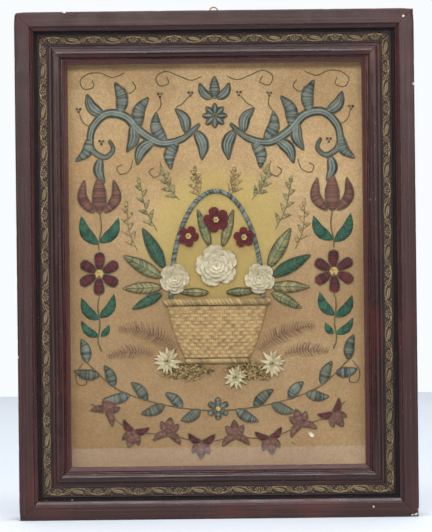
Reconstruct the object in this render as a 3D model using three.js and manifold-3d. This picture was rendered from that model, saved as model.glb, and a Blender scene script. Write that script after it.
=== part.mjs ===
// A framed embroidery: stitched cloth with raised flowers, in a deep moulded frame behind glass.
// Millimetres, +Z up. The front faces -Y, and the frame stands on its bottom edge at z = 0.
import * as THREE from "three";
import { mergeVertices } from "three/addons/utils/BufferGeometryUtils.js";
import Module from "manifold-3d";

const wasm = await Module();
wasm.setup();

// The frame
const FRAME_WIDTH = 440;
const FRAME_HEIGHT = 560;
const FRAME_DEPTH = 45;
const CLEARANCE = 0.3; // between two pieces that lie against each other
const MITRE_TRIM = 0.2; // taken off each rail end, so that the mitres stay apart
const FLATNESS = 0.01; // how far a joined solid's faces may stray

// The moulding's section. "at" and "end" are inward from the outer edge, "drop" is back from the front.
const RIM = { width: 15.5, round: 2, chamfer: 0.8 };
const COVE = { at: 20.6, halfWidth: 3.6, drop: 7, depth: 4.2, lastAngle: 0.6 };
const BED = { start: 26, end: 35.5, drop: 10, fillet: 0.7, filletDrop: 9.6 };
const HOLLOW = { start: 37.2, end: 39.8, drop: 11 };
const BEAD = { at: 45, radius: 5, drop: 12.5 };
const LIP = { start: 51.8, end: 57, drop: 13, edgeDrop: 17 };
const RABBET = { start: 50.5, drop: 21 };

// The pressed vine in the bed
const VINE = { cornerGap: 36, pitch: 23, swing: 4, width: 1.3, height: 1.8, steps: 4 };
const FAN = { reach: 7, spread: 5.4, base: 1.1, lobes: 5 };
const KNOT = { halfLength: 3, halfHeight: 2 };

// What lies in the rabbet, from front to back
const GLASS_THICKNESS = 2;
const SPACER_THICKNESS = 13.1;
const SPACER_WIDTH = 5.5;
const CLOTH_THICKNESS = 1.2;
const BOARD_THICKNESS = 4.5;

// The hanging loop at the middle of the top
const RING = { radius: 4.5, wire: 0.8, above: 3.7 };
const STRAP = { width: 3, thickness: 1, bore: 1.4, loop: 1.9, leg: 14 };
const TACK = { shank: 0.6, hole: 0.95, length: 7, head: 1.7, headHeight: 1, below: 9.5 };

const BACK_Y = (FRAME_DEPTH - (CLEARANCE + 2 * STRAP.loop)) / 2;

// Heights above the frame's back plane
const GLASS_BACK = FRAME_DEPTH - RABBET.drop - CLEARANCE - GLASS_THICKNESS;
const SPACER_BACK = GLASS_BACK - CLEARANCE - SPACER_THICKNESS;
const CLOTH_FRONT = SPACER_BACK - CLEARANCE;
const CLOTH_BACK = CLOTH_FRONT - CLOTH_THICKNESS;
const BOARD_BACK = CLOTH_BACK - CLEARANCE - BOARD_THICKNESS;

// Raised work lies on the cloth in two layers
const LOWER_THICKNESS = 2.4;
const LOWER_LAYER = CLOTH_FRONT + CLEARANCE;
const UPPER_LAYER = LOWER_LAYER + LOWER_THICKNESS + CLEARANCE;

// The basket of flowers, by its foot's middle
const BASKET = { x: 0, foot: 176, height: 58, footWidth: 74, mouthWidth: 112, swell: 4, depth: 6.4 };
const RIM_ROLL = { length: 112, radius: 4 };
const FOOT_ROLL = { length: 66, radius: 3 };
const HANDLE = { halfWidth: 54, rise: 122, width: 5.5, steps: 10 };

const ROSES = [
  { name: "rose_centre", x: 0, z: 279, radius: 26, height: 8.5, turn: 0.2 },
  { name: "rose_left", x: -47, z: 265, radius: 19, height: 7.5, turn: 0.9 },
  { name: "rose_right", x: 48, z: 264, radius: 19, height: 7.5, turn: 0.5 },
];
const VELVETS = [
  { name: "velvet_flower_top", x: 0, z: 330, radius: 16, height: 3, turn: 0.31 },
  { name: "velvet_flower_left", x: -31, z: 312, radius: 13, height: 3, turn: 0.8 },
  { name: "velvet_flower_right", x: 31, z: 310, radius: 13, height: 3, turn: 0.1 },
];
const EDELWEISS = [
  { name: "edelweiss_left", x: -56, z: 173, radius: 18, height: 3.6, turn: 0.1 },
  { name: "edelweiss_middle", x: 20, z: 154, radius: 15, height: 3.4, turn: 0.3 },
  { name: "edelweiss_right", x: 61, z: 169, radius: 17, height: 3.6, turn: 0.2 },
];
const STAR_FLOWER = { name: "star_flower", x: 0, z: 446, radius: 15, height: 2.6, turn: 0 };
const MOSS = [
  { name: "moss_left", x: -36, z: 161, halfLength: 27, halfHeight: 7 },
  { name: "moss_right", x: 38, z: 160, halfLength: 28, halfHeight: 6.5 },
];
// A leaf's root, the direction in degrees that it points, and its size
const LEAVES = [
  { name: "palm_leaf_inner_left", x: -7, z: 300, angle: 108, length: 44, width: 10 },
  { name: "palm_leaf_inner_right", x: 7, z: 300, angle: 73, length: 43, width: 10 },
  { name: "palm_leaf_rim_left", x: -9, z: 248.5, angle: 178, length: 35, width: 9 },
  { name: "palm_leaf_rim_right", x: 10, z: 248.5, angle: 2, length: 34, width: 9 },
  { name: "palm_leaf_left_high", x: -58, z: 276, angle: 118, length: 52, width: 15 },
  { name: "palm_leaf_left_upper", x: -61, z: 266, angle: 150, length: 50, width: 15 },
  { name: "palm_leaf_left_lower", x: -61, z: 255, angle: 181, length: 44, width: 13 },
  { name: "palm_leaf_left_low", x: -61, z: 248, angle: 207, length: 38, width: 11 },
  { name: "palm_leaf_right_high", x: 58, z: 276, angle: 60, length: 51, width: 15 },
  { name: "palm_leaf_right_upper", x: 61, z: 266, angle: 28, length: 51, width: 15 },
  { name: "palm_leaf_right_lower", x: 61, z: 255, angle: -2, length: 43, width: 13 },
  { name: "palm_leaf_right_low", x: 61, z: 248, angle: -28, length: 38, width: 11 },
];
// A frond's root, the knee of its rib, its tip and its greatest half width
const FERNS = [
  { name: "fern_left_upper", root: [-46, 184], knee: [-68, 212], tip: [-110, 209], halfWidth: 11 },
  { name: "fern_left_lower", root: [-72, 180], knee: [-94, 190], tip: [-122, 178], halfWidth: 9 },
  { name: "fern_right_upper", root: [46, 184], knee: [70, 208], tip: [109, 211], halfWidth: 11 },
  { name: "fern_right_lower", root: [75, 179], knee: [96, 188], tip: [124, 181], halfWidth: 9 },
];
const PINNAE = 9; // pairs of leaflets on a frond
const FERN_THICKNESS = 1;

const FINISH = {
  stained_wood: { color: 0x4a2e2b, roughness: 0.5 },
  bronze_ornament: { color: 0x7f6d4c, roughness: 0.45, metalness: 0.6 },
  glass: { color: 0xdfe8ea, roughness: 0.05 },
  card: { color: 0xcbb894, roughness: 0.9 },
  ground_cloth: { color: 0xb5935f, roughness: 0.95 },
  board: { color: 0x8a6a44, roughness: 0.85 },
  brass: { color: 0xb08a4a, roughness: 0.35, metalness: 0.9 },
  straw: { color: 0xb08a52, roughness: 0.8 },
  teal_cord: { color: 0x4d6a6a, roughness: 0.7 },
  pressed_cream: { color: 0xd9cba8, roughness: 0.75 },
  velvet: { color: 0x6e1f2a, roughness: 0.95 },
  laid_thread: { color: 0x8a7a48, roughness: 0.75 },
  dried_fern: { color: 0x6a4c45, roughness: 0.9 },
  wool_bract: { color: 0xcfc29a, roughness: 0.95 },
  moss: { color: 0x6e5a3a, roughness: 1 },
};
const materials = Object.fromEntries(
  Object.entries(FINISH).map(([slot, look]) => [slot, new THREE.MeshStandardMaterial(look)]),
);

// Inside this group x is to the right, y is up the frame and z is out from its back plane.
const face = new THREE.Group();
face.position.y = BACK_Y;
face.rotation.x = Math.PI / 2;

function place(name, geometry, slot, position, turn = 0) {
  const mesh = new THREE.Mesh(geometry, materials[slot]);
  mesh.name = name;
  mesh.position.set(...position);
  mesh.rotation.z = turn;
  face.add(mesh);
  return mesh;
}

function extrude(shape, depth, curveSegments = 4) {
  return new THREE.ExtrudeGeometry(shape, { depth, curveSegments, bevelEnabled: false });
}

// A closed solid of a geometry, for joining and cutting
function solidOf(geometry) {
  const bare = geometry.clone();
  bare.deleteAttribute("normal");
  bare.deleteAttribute("uv");
  const merged = mergeVertices(bare, 1e-4);
  return new wasm.Manifold(
    new wasm.Mesh({
      numProp: 3,
      vertProperties: new Float32Array(merged.attributes.position.array),
      triVerts: new Uint32Array(merged.index.array),
    }),
  );
}

function geometryOf(solid) {
  const mesh = solid.getMesh();
  const geometry = new THREE.BufferGeometry();
  geometry.setAttribute("position", new THREE.BufferAttribute(mesh.vertProperties, 3));
  geometry.setIndex(new THREE.BufferAttribute(mesh.triVerts, 1));
  geometry.computeVertexNormals();
  return geometry;
}

// One solid of many, with the flat faces that they share drawn as one
function joined(geometries) {
  const whole = geometries.map(solidOf).reduce((sum, piece) => sum.add(piece));
  return geometryOf(whole.asOriginal().simplify(FLATNESS));
}

function cut(geometry, tool) {
  return geometryOf(solidOf(geometry).subtract(solidOf(tool)));
}

// The rails: one stepped moulding, drawn with x inward from the outer edge and y out from the back
function mouldingShape() {
  const front = FRAME_DEPTH;
  const shape = new THREE.Shape();
  shape.moveTo(0, 0);
  shape.lineTo(RABBET.start, 0);
  shape.lineTo(RABBET.start, front - RABBET.drop);
  shape.lineTo(LIP.end, front - RABBET.drop);
  shape.lineTo(LIP.end, front - LIP.edgeDrop);
  shape.lineTo(LIP.start, front - LIP.drop);
  shape.absarc(BEAD.at, front - BEAD.drop, BEAD.radius, 0, Math.PI);
  shape.lineTo(HOLLOW.end, front - HOLLOW.drop);
  shape.lineTo(HOLLOW.start, front - HOLLOW.drop);
  shape.absarc(BED.end + BED.fillet, front - BED.filletDrop, BED.fillet, 0, Math.PI);
  shape.lineTo(BED.end, front - BED.drop);
  shape.lineTo(BED.start, front - BED.drop);
  shape.absarc(BED.start - BED.fillet, front - BED.filletDrop, BED.fillet, 0, Math.PI);
  const coveFloor = [COVE.at, front - COVE.drop, COVE.halfWidth, COVE.depth];
  shape.absellipse(...coveFloor, -COVE.lastAngle, -Math.PI, true);
  shape.lineTo(RIM.width, front - RIM.chamfer);
  shape.lineTo(RIM.width - RIM.chamfer, front);
  shape.absarc(RIM.round, front - RIM.round, RIM.round, Math.PI / 2, Math.PI);
  return shape;
}

// A rail along x, its outer edge at y = 0, with both ends mitred
function railGeometry(length) {
  const geometry = extrude(mouldingShape(), length);
  const position = geometry.attributes.position;
  for (let i = 0; i < position.count; i++) {
    const inward = position.getX(i);
    const out = position.getY(i);
    const end = Math.sign(position.getZ(i) - length / 2);
    position.setXYZ(i, end * (length / 2 - inward - MITRE_TRIM), inward, out);
  }
  geometry.computeVertexNormals();
  return geometry;
}

// The vine's stem, as a band that swings from side to side of the bed
function stemShape(bays, pitch) {
  const count = bays * VINE.steps;
  const edge = (side) =>
    Array.from({ length: count + 1 }, (_, i) => {
      const phase = (Math.PI * i) / VINE.steps;
      const slope = (VINE.swing * Math.PI * Math.cos(phase)) / pitch;
      const reach = (side * VINE.width) / 2 / Math.hypot(1, slope);
      const along = (i * pitch) / VINE.steps;
      return new THREE.Vector2(along - slope * reach, VINE.swing * Math.sin(phase) + reach);
    });
  return new THREE.Shape([...edge(1), ...edge(-1).reverse()]);
}

// The fan of petals that hangs from one arch of the stem
function fanShape(side) {
  const shape = new THREE.Shape();
  const root = side * VINE.swing;
  shape.moveTo(-FAN.base, root);
  for (let i = 0; i < FAN.lobes; i++) {
    const angle = Math.PI * ((i + 0.5) / FAN.lobes);
    const notch = Math.PI * ((i + 1) / FAN.lobes);
    shape.lineTo(-FAN.spread * Math.cos(angle), root - side * FAN.reach * Math.sin(angle));
    if (i < FAN.lobes - 1)
      shape.lineTo(-0.6 * FAN.spread * Math.cos(notch), root - side * 0.72 * FAN.reach * Math.sin(notch));
  }
  shape.lineTo(FAN.base, root);
  return shape;
}

function knotShape() {
  const { halfLength, halfHeight } = KNOT;
  return new THREE.Shape([
    new THREE.Vector2(-halfLength, 0),
    new THREE.Vector2(-halfLength / 3, -halfHeight),
    new THREE.Vector2((halfLength * 2) / 3, -halfHeight * 0.7),
    new THREE.Vector2(halfLength, 0),
    new THREE.Vector2((halfLength * 2) / 3, halfHeight * 0.7),
    new THREE.Vector2(-halfLength / 3, halfHeight),
  ]);
}

// One strip: the stem, a fan under each arch and a leaf where the stem crosses over
function ornamentGeometry(railLength) {
  const run = railLength - 2 * VINE.cornerGap;
  const bays = Math.round(run / VINE.pitch);
  const pitch = run / bays;
  const pieces = [extrude(stemShape(bays, pitch), VINE.height)];
  for (let bay = 0; bay <= bays; bay++) {
    pieces.push(extrude(knotShape(), VINE.height).translate(bay * pitch, 0, 0));
    const side = bay % 2 === 0 ? 1 : -1;
    if (bay < bays) pieces.push(extrude(fanShape(side), VINE.height).translate((bay + 0.5) * pitch, 0, 0));
  }
  return joined(pieces).translate(-run / 2, 0, 0);
}

const RAILS = [
  { side: "bottom", length: FRAME_WIDTH, x: 0, y: 0, turn: 0 },
  { side: "right", length: FRAME_HEIGHT, x: FRAME_WIDTH / 2, y: FRAME_HEIGHT / 2, turn: Math.PI / 2 },
  { side: "top", length: FRAME_WIDTH, x: 0, y: FRAME_HEIGHT, turn: Math.PI },
  { side: "left", length: FRAME_HEIGHT, x: -FRAME_WIDTH / 2, y: FRAME_HEIGHT / 2, turn: -Math.PI / 2 },
];
const strapHeight = FRAME_HEIGHT + RING.above - RING.radius;
const tackHeight = strapHeight - TACK.below;

// A round hole for the tack, along the depth
function tackHole(fromBack, depth) {
  const tool = new THREE.CylinderGeometry(TACK.hole, TACK.hole, depth, 12);
  return tool.rotateX(Math.PI / 2).translate(0, 0, fromBack + depth / 2);
}

function addFrame() {
  const bedMiddle = (BED.start + BED.end) / 2;
  const bedFloor = FRAME_DEPTH - BED.drop + CLEARANCE;
  for (const { side, length, x, y, turn } of RAILS) {
    const inward = new THREE.Vector2(0, bedMiddle).rotateAround(new THREE.Vector2(), turn);
    let rail = railGeometry(length);
    if (side === "top") {
      const hole = tackHole(-1, TACK.length + 1).translate(0, FRAME_HEIGHT - tackHeight, 0);
      rail = cut(rail, hole);
    }
    place(`rail_${side}`, rail, "stained_wood", [x, y, 0], turn);
    const bed = [x + inward.x, y + inward.y, bedFloor];
    place(`ornament_${side}`, ornamentGeometry(length), "bronze_ornament", bed, turn);
  }
}

// Glass, slips, cloth and board, all flat sheets in the rabbet
function addRabbetStack() {
  const width = FRAME_WIDTH - 2 * (RABBET.start + CLEARANCE);
  const height = FRAME_HEIGHT - 2 * (RABBET.start + CLEARANCE);
  const middle = FRAME_HEIGHT / 2;
  const sheet = (thickness) => new THREE.BoxGeometry(width, height, thickness);
  const flat = (name, thickness, back, slot) =>
    place(name, sheet(thickness), slot, [0, middle, back + thickness / 2]);
  flat("glass_pane", GLASS_THICKNESS, GLASS_BACK, "glass");
  flat("ground_cloth", CLOTH_THICKNESS, CLOTH_BACK, "ground_cloth");
  flat("backing_board", BOARD_THICKNESS, BOARD_BACK, "board");

  const slipLevel = SPACER_BACK + SPACER_THICKNESS / 2;
  const across = new THREE.BoxGeometry(width, SPACER_WIDTH, SPACER_THICKNESS);
  const upright = height - 2 * (SPACER_WIDTH + CLEARANCE);
  const up = new THREE.BoxGeometry(SPACER_WIDTH, upright, SPACER_THICKNESS);
  const rise = (height - SPACER_WIDTH) / 2;
  const reach = (width - SPACER_WIDTH) / 2;
  place("spacer_top", across, "card", [0, middle + rise, slipLevel]);
  place("spacer_bottom", across, "card", [0, middle - rise, slipLevel]);
  place("spacer_left", up, "card", [-reach, middle, slipLevel]);
  place("spacer_right", up, "card", [reach, middle, slipLevel]);
}

// The hanging loop: a wire ring in a folded strap that a tack holds to the back of the top rail
function strapGeometry() {
  const loopAt = -(CLEARANCE + STRAP.loop);
  const legBack = -(CLEARANCE + STRAP.thickness);
  const meet = Math.acos((legBack - loopAt) / STRAP.loop);
  const shape = new THREE.Shape();
  shape.moveTo(-CLEARANCE, -STRAP.leg);
  shape.lineTo(-CLEARANCE, 0);
  shape.absarc(loopAt, 0, STRAP.loop, 0, 2 * Math.PI - meet);
  shape.lineTo(legBack, -STRAP.leg);
  const bore = new THREE.Path();
  bore.absarc(loopAt, 0, STRAP.bore, 0, 2 * Math.PI);
  shape.holes.push(bore);
  const strap = extrude(shape, STRAP.width, 6).rotateY(-Math.PI / 2).translate(STRAP.width / 2, 0, 0);
  const holeDepth = 2 * STRAP.thickness;
  const hole = tackHole(-holeDepth, holeDepth + 1).translate(0, -TACK.below, 0);
  return cut(strap, hole);
}

function tackGeometry() {
  const seat = -(2 * CLEARANCE + STRAP.thickness);
  const tip = TACK.length - 2 * CLEARANCE;
  const profile = [
    [0, seat - TACK.headHeight],
    [TACK.head * 0.6, seat - TACK.headHeight * 0.85],
    [TACK.head, seat],
    [TACK.shank, seat],
    [TACK.shank, tip - 2 * TACK.shank],
    [0, tip],
  ];
  const points = profile.map(([radius, height]) => new THREE.Vector2(radius, height));
  return new THREE.LatheGeometry(points, 12).rotateX(Math.PI / 2);
}

function addHanger() {
  const ring = new THREE.TorusGeometry(RING.radius, RING.wire, 8, 20);
  place("hanging_ring", ring, "brass", [0, FRAME_HEIGHT + RING.above, -(CLEARANCE + STRAP.loop)]);
  place("hanger_strap", strapGeometry(), "brass", [0, strapHeight, 0]);
  place("hanger_tack", tackGeometry(), "brass", [0, tackHeight, 0]);
}

// A low dome with a flat back, whose outline is drawn in between its petals
function blossomGeometry({ radius, height, petals, notch, perPetal = 4, crown = 1 }) {
  const profile = [
    [0, 0],
    [1, 0],
    [0.96, 0.45],
    [0.6, 0.72],
    [0.3, crown],
    [0, 0.9 * crown],
  ];
  const points = profile.map(([out, up]) => new THREE.Vector2(out * radius, up * height));
  const geometry = new THREE.LatheGeometry(points, petals * perPetal).rotateX(Math.PI / 2);
  const position = geometry.attributes.position;
  for (let i = 0; i < position.count; i++) {
    const x = position.getX(i);
    const y = position.getY(i);
    const share = Math.hypot(x, y) / radius;
    const petal = Math.abs(Math.cos((petals * Math.atan2(x, -y)) / 2));
    const draw = 1 - notch * share * (1 - petal);
    position.setXY(i, x * draw, y * draw);
  }
  geometry.computeVertexNormals();
  return geometry;
}

function addBlossoms(list, form, slot, level) {
  for (const { name, x, z, radius, height, turn } of list)
    place(name, blossomGeometry({ radius, height, ...form }), slot, [x, z, level], turn);
}

function basketShape() {
  const foot = BASKET.footWidth / 2;
  const mouth = BASKET.mouthWidth / 2;
  const side = (foot + mouth) / 2 + BASKET.swell;
  const shape = new THREE.Shape();
  shape.moveTo(-foot, 0);
  shape.lineTo(foot, 0);
  shape.quadraticCurveTo(side, BASKET.height * 0.45, mouth, BASKET.height);
  shape.lineTo(-mouth, BASKET.height);
  shape.quadraticCurveTo(-side, BASKET.height * 0.45, -foot, 0);
  return shape;
}

function roll(length, radius) {
  return new THREE.CapsuleGeometry(radius, length, 3, 10).rotateZ(Math.PI / 2);
}

// The handle: a flat plaited band bent over in half an ellipse
function handleShape() {
  const inner = HANDLE.width;
  const shape = new THREE.Shape();
  shape.absellipse(0, 0, HANDLE.halfWidth, HANDLE.rise, 0, Math.PI);
  shape.absellipse(0, 0, HANDLE.halfWidth - inner, HANDLE.rise - inner, Math.PI, 0, true);
  return shape;
}

function addBasket() {
  const bulge = BASKET.depth / 3;
  const body = new THREE.ExtrudeGeometry(basketShape(), {
    depth: BASKET.depth - 2 * bulge,
    curveSegments: 5,
    bevelThickness: bulge,
    bevelSize: bulge,
    bevelOffset: -bulge,
    bevelSegments: 2,
  });
  place("basket_body", body, "straw", [BASKET.x, BASKET.foot, LOWER_LAYER + bulge]);
  const rimAt = BASKET.foot + BASKET.height + CLEARANCE + RIM_ROLL.radius;
  const footAt = BASKET.foot - CLEARANCE - FOOT_ROLL.radius;
  const rim = roll(RIM_ROLL.length, RIM_ROLL.radius);
  const foot = roll(FOOT_ROLL.length, FOOT_ROLL.radius);
  place("basket_rim", rim, "laid_thread", [BASKET.x, rimAt, LOWER_LAYER + RIM_ROLL.radius]);
  place("basket_foot", foot, "laid_thread", [BASKET.x, footAt, LOWER_LAYER + FOOT_ROLL.radius]);
  const handle = extrude(handleShape(), LOWER_THICKNESS, HANDLE.steps);
  place("basket_handle", handle, "teal_cord", [BASKET.x, rimAt + RIM_ROLL.radius + CLEARANCE, LOWER_LAYER]);
}

function leafShape(length, width) {
  const shape = new THREE.Shape();
  shape.moveTo(0, 0);
  shape.bezierCurveTo(length * 0.2, width * 0.62, length * 0.6, width * 0.66, length, 0);
  shape.bezierCurveTo(length * 0.6, -width * 0.66, length * 0.2, -width * 0.62, 0, 0);
  return shape;
}

function addLeaves() {
  for (const { name, x, z, angle, length, width } of LEAVES) {
    const leaf = extrude(leafShape(length, width), LOWER_THICKNESS, 7);
    place(name, leaf, "laid_thread", [x, z, LOWER_LAYER], THREE.MathUtils.degToRad(angle));
  }
}

// A frond's outline: leaflets stand forward from a bent rib, and shorten to the tip
function frondShape({ root, knee, tip, halfWidth }) {
  const [start, bend, end] = [root, knee, tip].map(([x, y]) => new THREE.Vector2(x, y));
  const rib = new THREE.QuadraticBezierCurve(start, bend, end);
  const edge = (side) => {
    const points = [];
    for (let i = 0; i < PINNAE; i++) {
      const share = (i + 0.5) / PINNAE;
      const reach = halfWidth * (0.35 + 2.6 * share * (1 - share)) * (1 - 0.35 * share);
      const stations = [
        [share - 0.35 / PINNAE, 0.9],
        [share + 0.45 / PINNAE, reach],
      ];
      for (const [at, away] of stations) {
        const along = rib.getTangentAt(at);
        const point = rib.getPointAt(at);
        points.push(new THREE.Vector2(point.x - side * along.y * away, point.y + side * along.x * away));
      }
    }
    return points;
  };
  return new THREE.Shape([start, ...edge(-1), end, ...edge(1).reverse()]);
}

function addGreenery() {
  for (const fern of FERNS)
    place(fern.name, extrude(frondShape(fern), FERN_THICKNESS), "dried_fern", [0, 0, LOWER_LAYER]);
  for (const { name, x, z, halfLength, halfHeight } of MOSS) {
    const form = { radius: 1, height: LOWER_THICKNESS, petals: 7, notch: 0.3, perPetal: 2 };
    const clump = blossomGeometry(form).scale(halfLength, halfHeight, 1);
    place(name, clump, "moss", [x, z, LOWER_LAYER]);
  }
}

addFrame();
addRabbetStack();
addHanger();
addBasket();
addLeaves();
addGreenery();
addBlossoms(ROSES, { petals: 5, notch: 0.35, perPetal: 4 }, "pressed_cream", UPPER_LAYER);
addBlossoms(VELVETS, { petals: 5, notch: 0.6, perPetal: 4, crown: 0.8 }, "velvet", UPPER_LAYER);
addBlossoms(EDELWEISS, { petals: 8, notch: 0.75, perPetal: 2 }, "wool_bract", UPPER_LAYER);
addBlossoms([STAR_FLOWER], { petals: 8, notch: 0.75, perPetal: 2 }, "teal_cord", LOWER_LAYER);

const part = new THREE.Group();
part.add(face);

export default part;
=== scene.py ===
"""The looks of a framed embroidery: stitched cloth and raised flowers behind glass in a moulded frame.

Lengths in the tables are millimetres. On the work's face x runs to the right, z runs up the frame, and
"out" is how far a point stands in front of the ground cloth.
"""

from __future__ import annotations

import logging
import math
from dataclasses import dataclass, replace
from enum import Enum
from functools import cache, reduce

import bpy
import numpy as np
from bpy.types import Material, NodeSocket, Object
from mathutils import Matrix, Vector
from numpy import cos, pi, sin, sqrt

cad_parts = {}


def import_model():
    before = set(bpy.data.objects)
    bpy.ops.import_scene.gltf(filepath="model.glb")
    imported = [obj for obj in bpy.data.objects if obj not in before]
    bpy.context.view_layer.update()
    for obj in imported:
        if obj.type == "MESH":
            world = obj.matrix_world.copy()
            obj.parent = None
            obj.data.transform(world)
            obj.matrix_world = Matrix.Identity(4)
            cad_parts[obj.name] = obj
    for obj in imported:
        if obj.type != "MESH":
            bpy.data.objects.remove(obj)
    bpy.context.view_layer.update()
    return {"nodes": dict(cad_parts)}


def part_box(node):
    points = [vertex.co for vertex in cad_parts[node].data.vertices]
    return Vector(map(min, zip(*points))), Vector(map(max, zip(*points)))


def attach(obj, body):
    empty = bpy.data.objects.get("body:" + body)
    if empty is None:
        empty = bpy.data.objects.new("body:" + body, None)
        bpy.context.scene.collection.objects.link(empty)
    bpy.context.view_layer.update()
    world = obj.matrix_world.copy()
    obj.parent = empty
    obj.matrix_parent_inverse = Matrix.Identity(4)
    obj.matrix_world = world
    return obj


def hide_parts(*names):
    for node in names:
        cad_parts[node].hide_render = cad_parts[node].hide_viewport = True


LOG = logging.getLogger("framed_embroidery")
MM = 0.001
BODY = "root"
SHARP_DEGREES = 40.0
STEP, SALT, START, SPREAD = 12.9898, 78.233, 4.1, 43758.5453

Array = np.ndarray
Point = tuple[float, float] | Array
Colour = tuple[float, float, float]
Line = tuple[Point, ...]
Row = tuple[float, ...]
Spot = tuple[str, float, float, float, float]


# Numbers that vary, the same on each run


def chance(index: Array | float, salt: float = 0) -> Array:
    """A number from 0 to 1 for each index: what is left of a large sine after its whole part."""
    value = sin(np.asarray(index, float) * STEP + salt * SALT + START) * SPREAD
    return value - np.floor(value)


def drift(along: Array, length: float, salt: float = 0) -> Array:
    """A slow wander from about -1 to 1: three sines of unlike lengths.

    Args:
        along: places along a line.
        length: of the longest wave, in the same unit.
        salt: sets one wander apart from the next.

    Returns:
        The value at each place.
    """
    turn = 2 * pi * np.asarray(along, float) / length
    quicker = 0.6 * sin(2.3 * turn + 4.1 * salt) + 0.4 * sin(4.7 * turn + salt)
    return (sin(turn + 1.7 * salt) + quicker) / 2


def rumple(x: Array, z: Array, length: float, salt: float = 0) -> Array:
    """An uneven surface from -1 to 1: sines in four directions, each a little longer than the last.

    Args:
        x: places across.
        z: places up.
        length: of the shortest wave, in the same unit.
        salt: sets one surface apart from the next.

    Returns:
        The height at each place.
    """
    total = np.zeros(np.broadcast(x, z).shape)
    for k in range(4):
        angle = 0.6 + 0.83 * k + salt
        across = x * math.cos(angle) + z * math.sin(angle)
        total = total + sin(2 * pi * across / (length * (1 + 0.31 * k)) + 3.1 * salt + k)
    return total / 4


def smooth(low: float | Array, high: float | Array, value: Array) -> Array:
    """A soft step from 0 at low to 1 at high: three squares less two cubes of the share between them."""
    share = np.clip((value - low) / (high - low), 0, 1)
    return share * share * (3 - 2 * share)


def dome(away: Array) -> Array:
    """Height over a round foot: sqrt(1 - away), where away grows from 0 in the middle to 1 at its edge."""
    return sqrt(np.clip(1 - away, 0, 1))


def turns(count: int, start: float = 0.0) -> Array:
    """Evenly spaced angles of a full turn, in radians, from start steps on."""
    return 2 * pi * (np.arange(count) + start) / count


def ring(x: float, z: float, radius: float, count: int, turn: float = 0.0) -> Array:
    """Points (x + r cos t, z + r sin t), evenly spaced round a middle, with the first at angle turn."""
    t = turns(count) + turn
    return np.stack([x + radius * cos(t), z + radius * sin(t)], 1)


def heading(degrees: float) -> Array:
    """The unit vector that points that many degrees from the x axis."""
    return np.array([math.cos(math.radians(degrees)), math.sin(math.radians(degrees))])


# Lines on the face


def resample(line: Array, count: int) -> Array:
    """The same line drawn with count points, evenly spaced along its length.

    Args:
        line: points of a polyline, one row each.
        count: how many points to return.

    Returns:
        An array of count rows.
    """
    steps = sqrt((np.diff(line, axis=0) ** 2).sum(1))
    at = np.concatenate([[0], np.cumsum(steps)])
    wanted = np.linspace(0, at[-1], count)
    return np.stack([np.interp(wanted, at, column) for column in line.T], axis=1)


def length_of(line: Array) -> float:
    """The length of a polyline."""
    return float(sqrt((np.diff(line, axis=0) ** 2).sum(1)).sum())


def flowing(points: Line | Array) -> Array:
    """A smooth line through the given points: a Catmull-Rom cubic between each two, in 20 steps.

    Args:
        points: two or more places in millimetres.

    Returns:
        The line's points.
    """
    p = np.asarray(points, float)
    p = np.vstack([2 * p[0] - p[1], p, 2 * p[-1] - p[-2]])
    t = np.linspace(0, 1, 20, endpoint=False)[None, :, None]
    a, b, c, d = (p[i : len(p) - 3 + i, None, :] for i in range(4))
    cubic = 2 * b + (c - a) * t + (2 * a - 5 * b + 4 * c - d) * t**2 + (3 * b - a - 3 * c + d) * t**3
    return np.vstack([cubic.reshape(-1, p.shape[1]) / 2, p[-2:-1]])


def sideways(line: Array) -> Array:
    """Unit normals of a line, turned a quarter turn to the left of its direction.

    Args:
        line: points of a polyline, one row each.

    Returns:
        A normal for each point.
    """
    along = np.gradient(line, axis=0)
    along /= np.maximum(sqrt((along**2).sum(1, keepdims=True)), 1e-9)
    return np.stack([-along[:, 1], along[:, 0]], axis=1)


def bent(root: Point, degrees: float, length: float, bow: float = 0.0) -> Line:
    """Root, knee and tip of a leaf's middle line, whose knee lies bow times its length to the left.

    Args:
        root: where it starts.
        degrees: the way it points, from the x axis.
        length: from root to tip.
        bow: how far it is bowed to its left, as a share of its length.

    Returns:
        Three points.
    """
    way = heading(degrees)
    side = np.array([-way[1], way[0]])
    start = np.asarray(root, float)
    places = ((0, 0), (0.5, 1), (1, 0))
    return tuple(start + length * (way * share + side * bow * aside) for share, aside in places)


def mirrored(points: Line) -> Line:
    """The same points on the other side of the middle."""
    return tuple((-x, z) for x, z in points)


@dataclass(frozen=True)
class Face:
    """Turns millimetres on the work's face into metres in the frame.

    Attributes:
        cloth: world y of the front of the ground cloth.
        back: world y of the frame's back plane.
    """

    cloth: float
    back: float

    def at(self, x: Array, z: Array, out: Array) -> Array:
        """The point x across, z up and out in front of the cloth: (x, cloth - out, z)."""
        x, z, out = np.broadcast_arrays(np.asarray(x, float), np.asarray(z, float), np.asarray(out, float))
        return np.stack([x * MM, self.cloth - out * MM, z * MM], axis=-1)

    def over(self, place: Array, out: Array) -> Array:
        """The same for places whose last axis holds x and z."""
        return self.at(place[..., 0], place[..., 1], out)

    def from_back(self, x: Array, z: Array, out: Array) -> Array:
        """The point x across, z up and out in front of the frame's back plane."""
        return self.at(x, z, out - (self.back - self.cloth) / MM)


# Meshes


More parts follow.
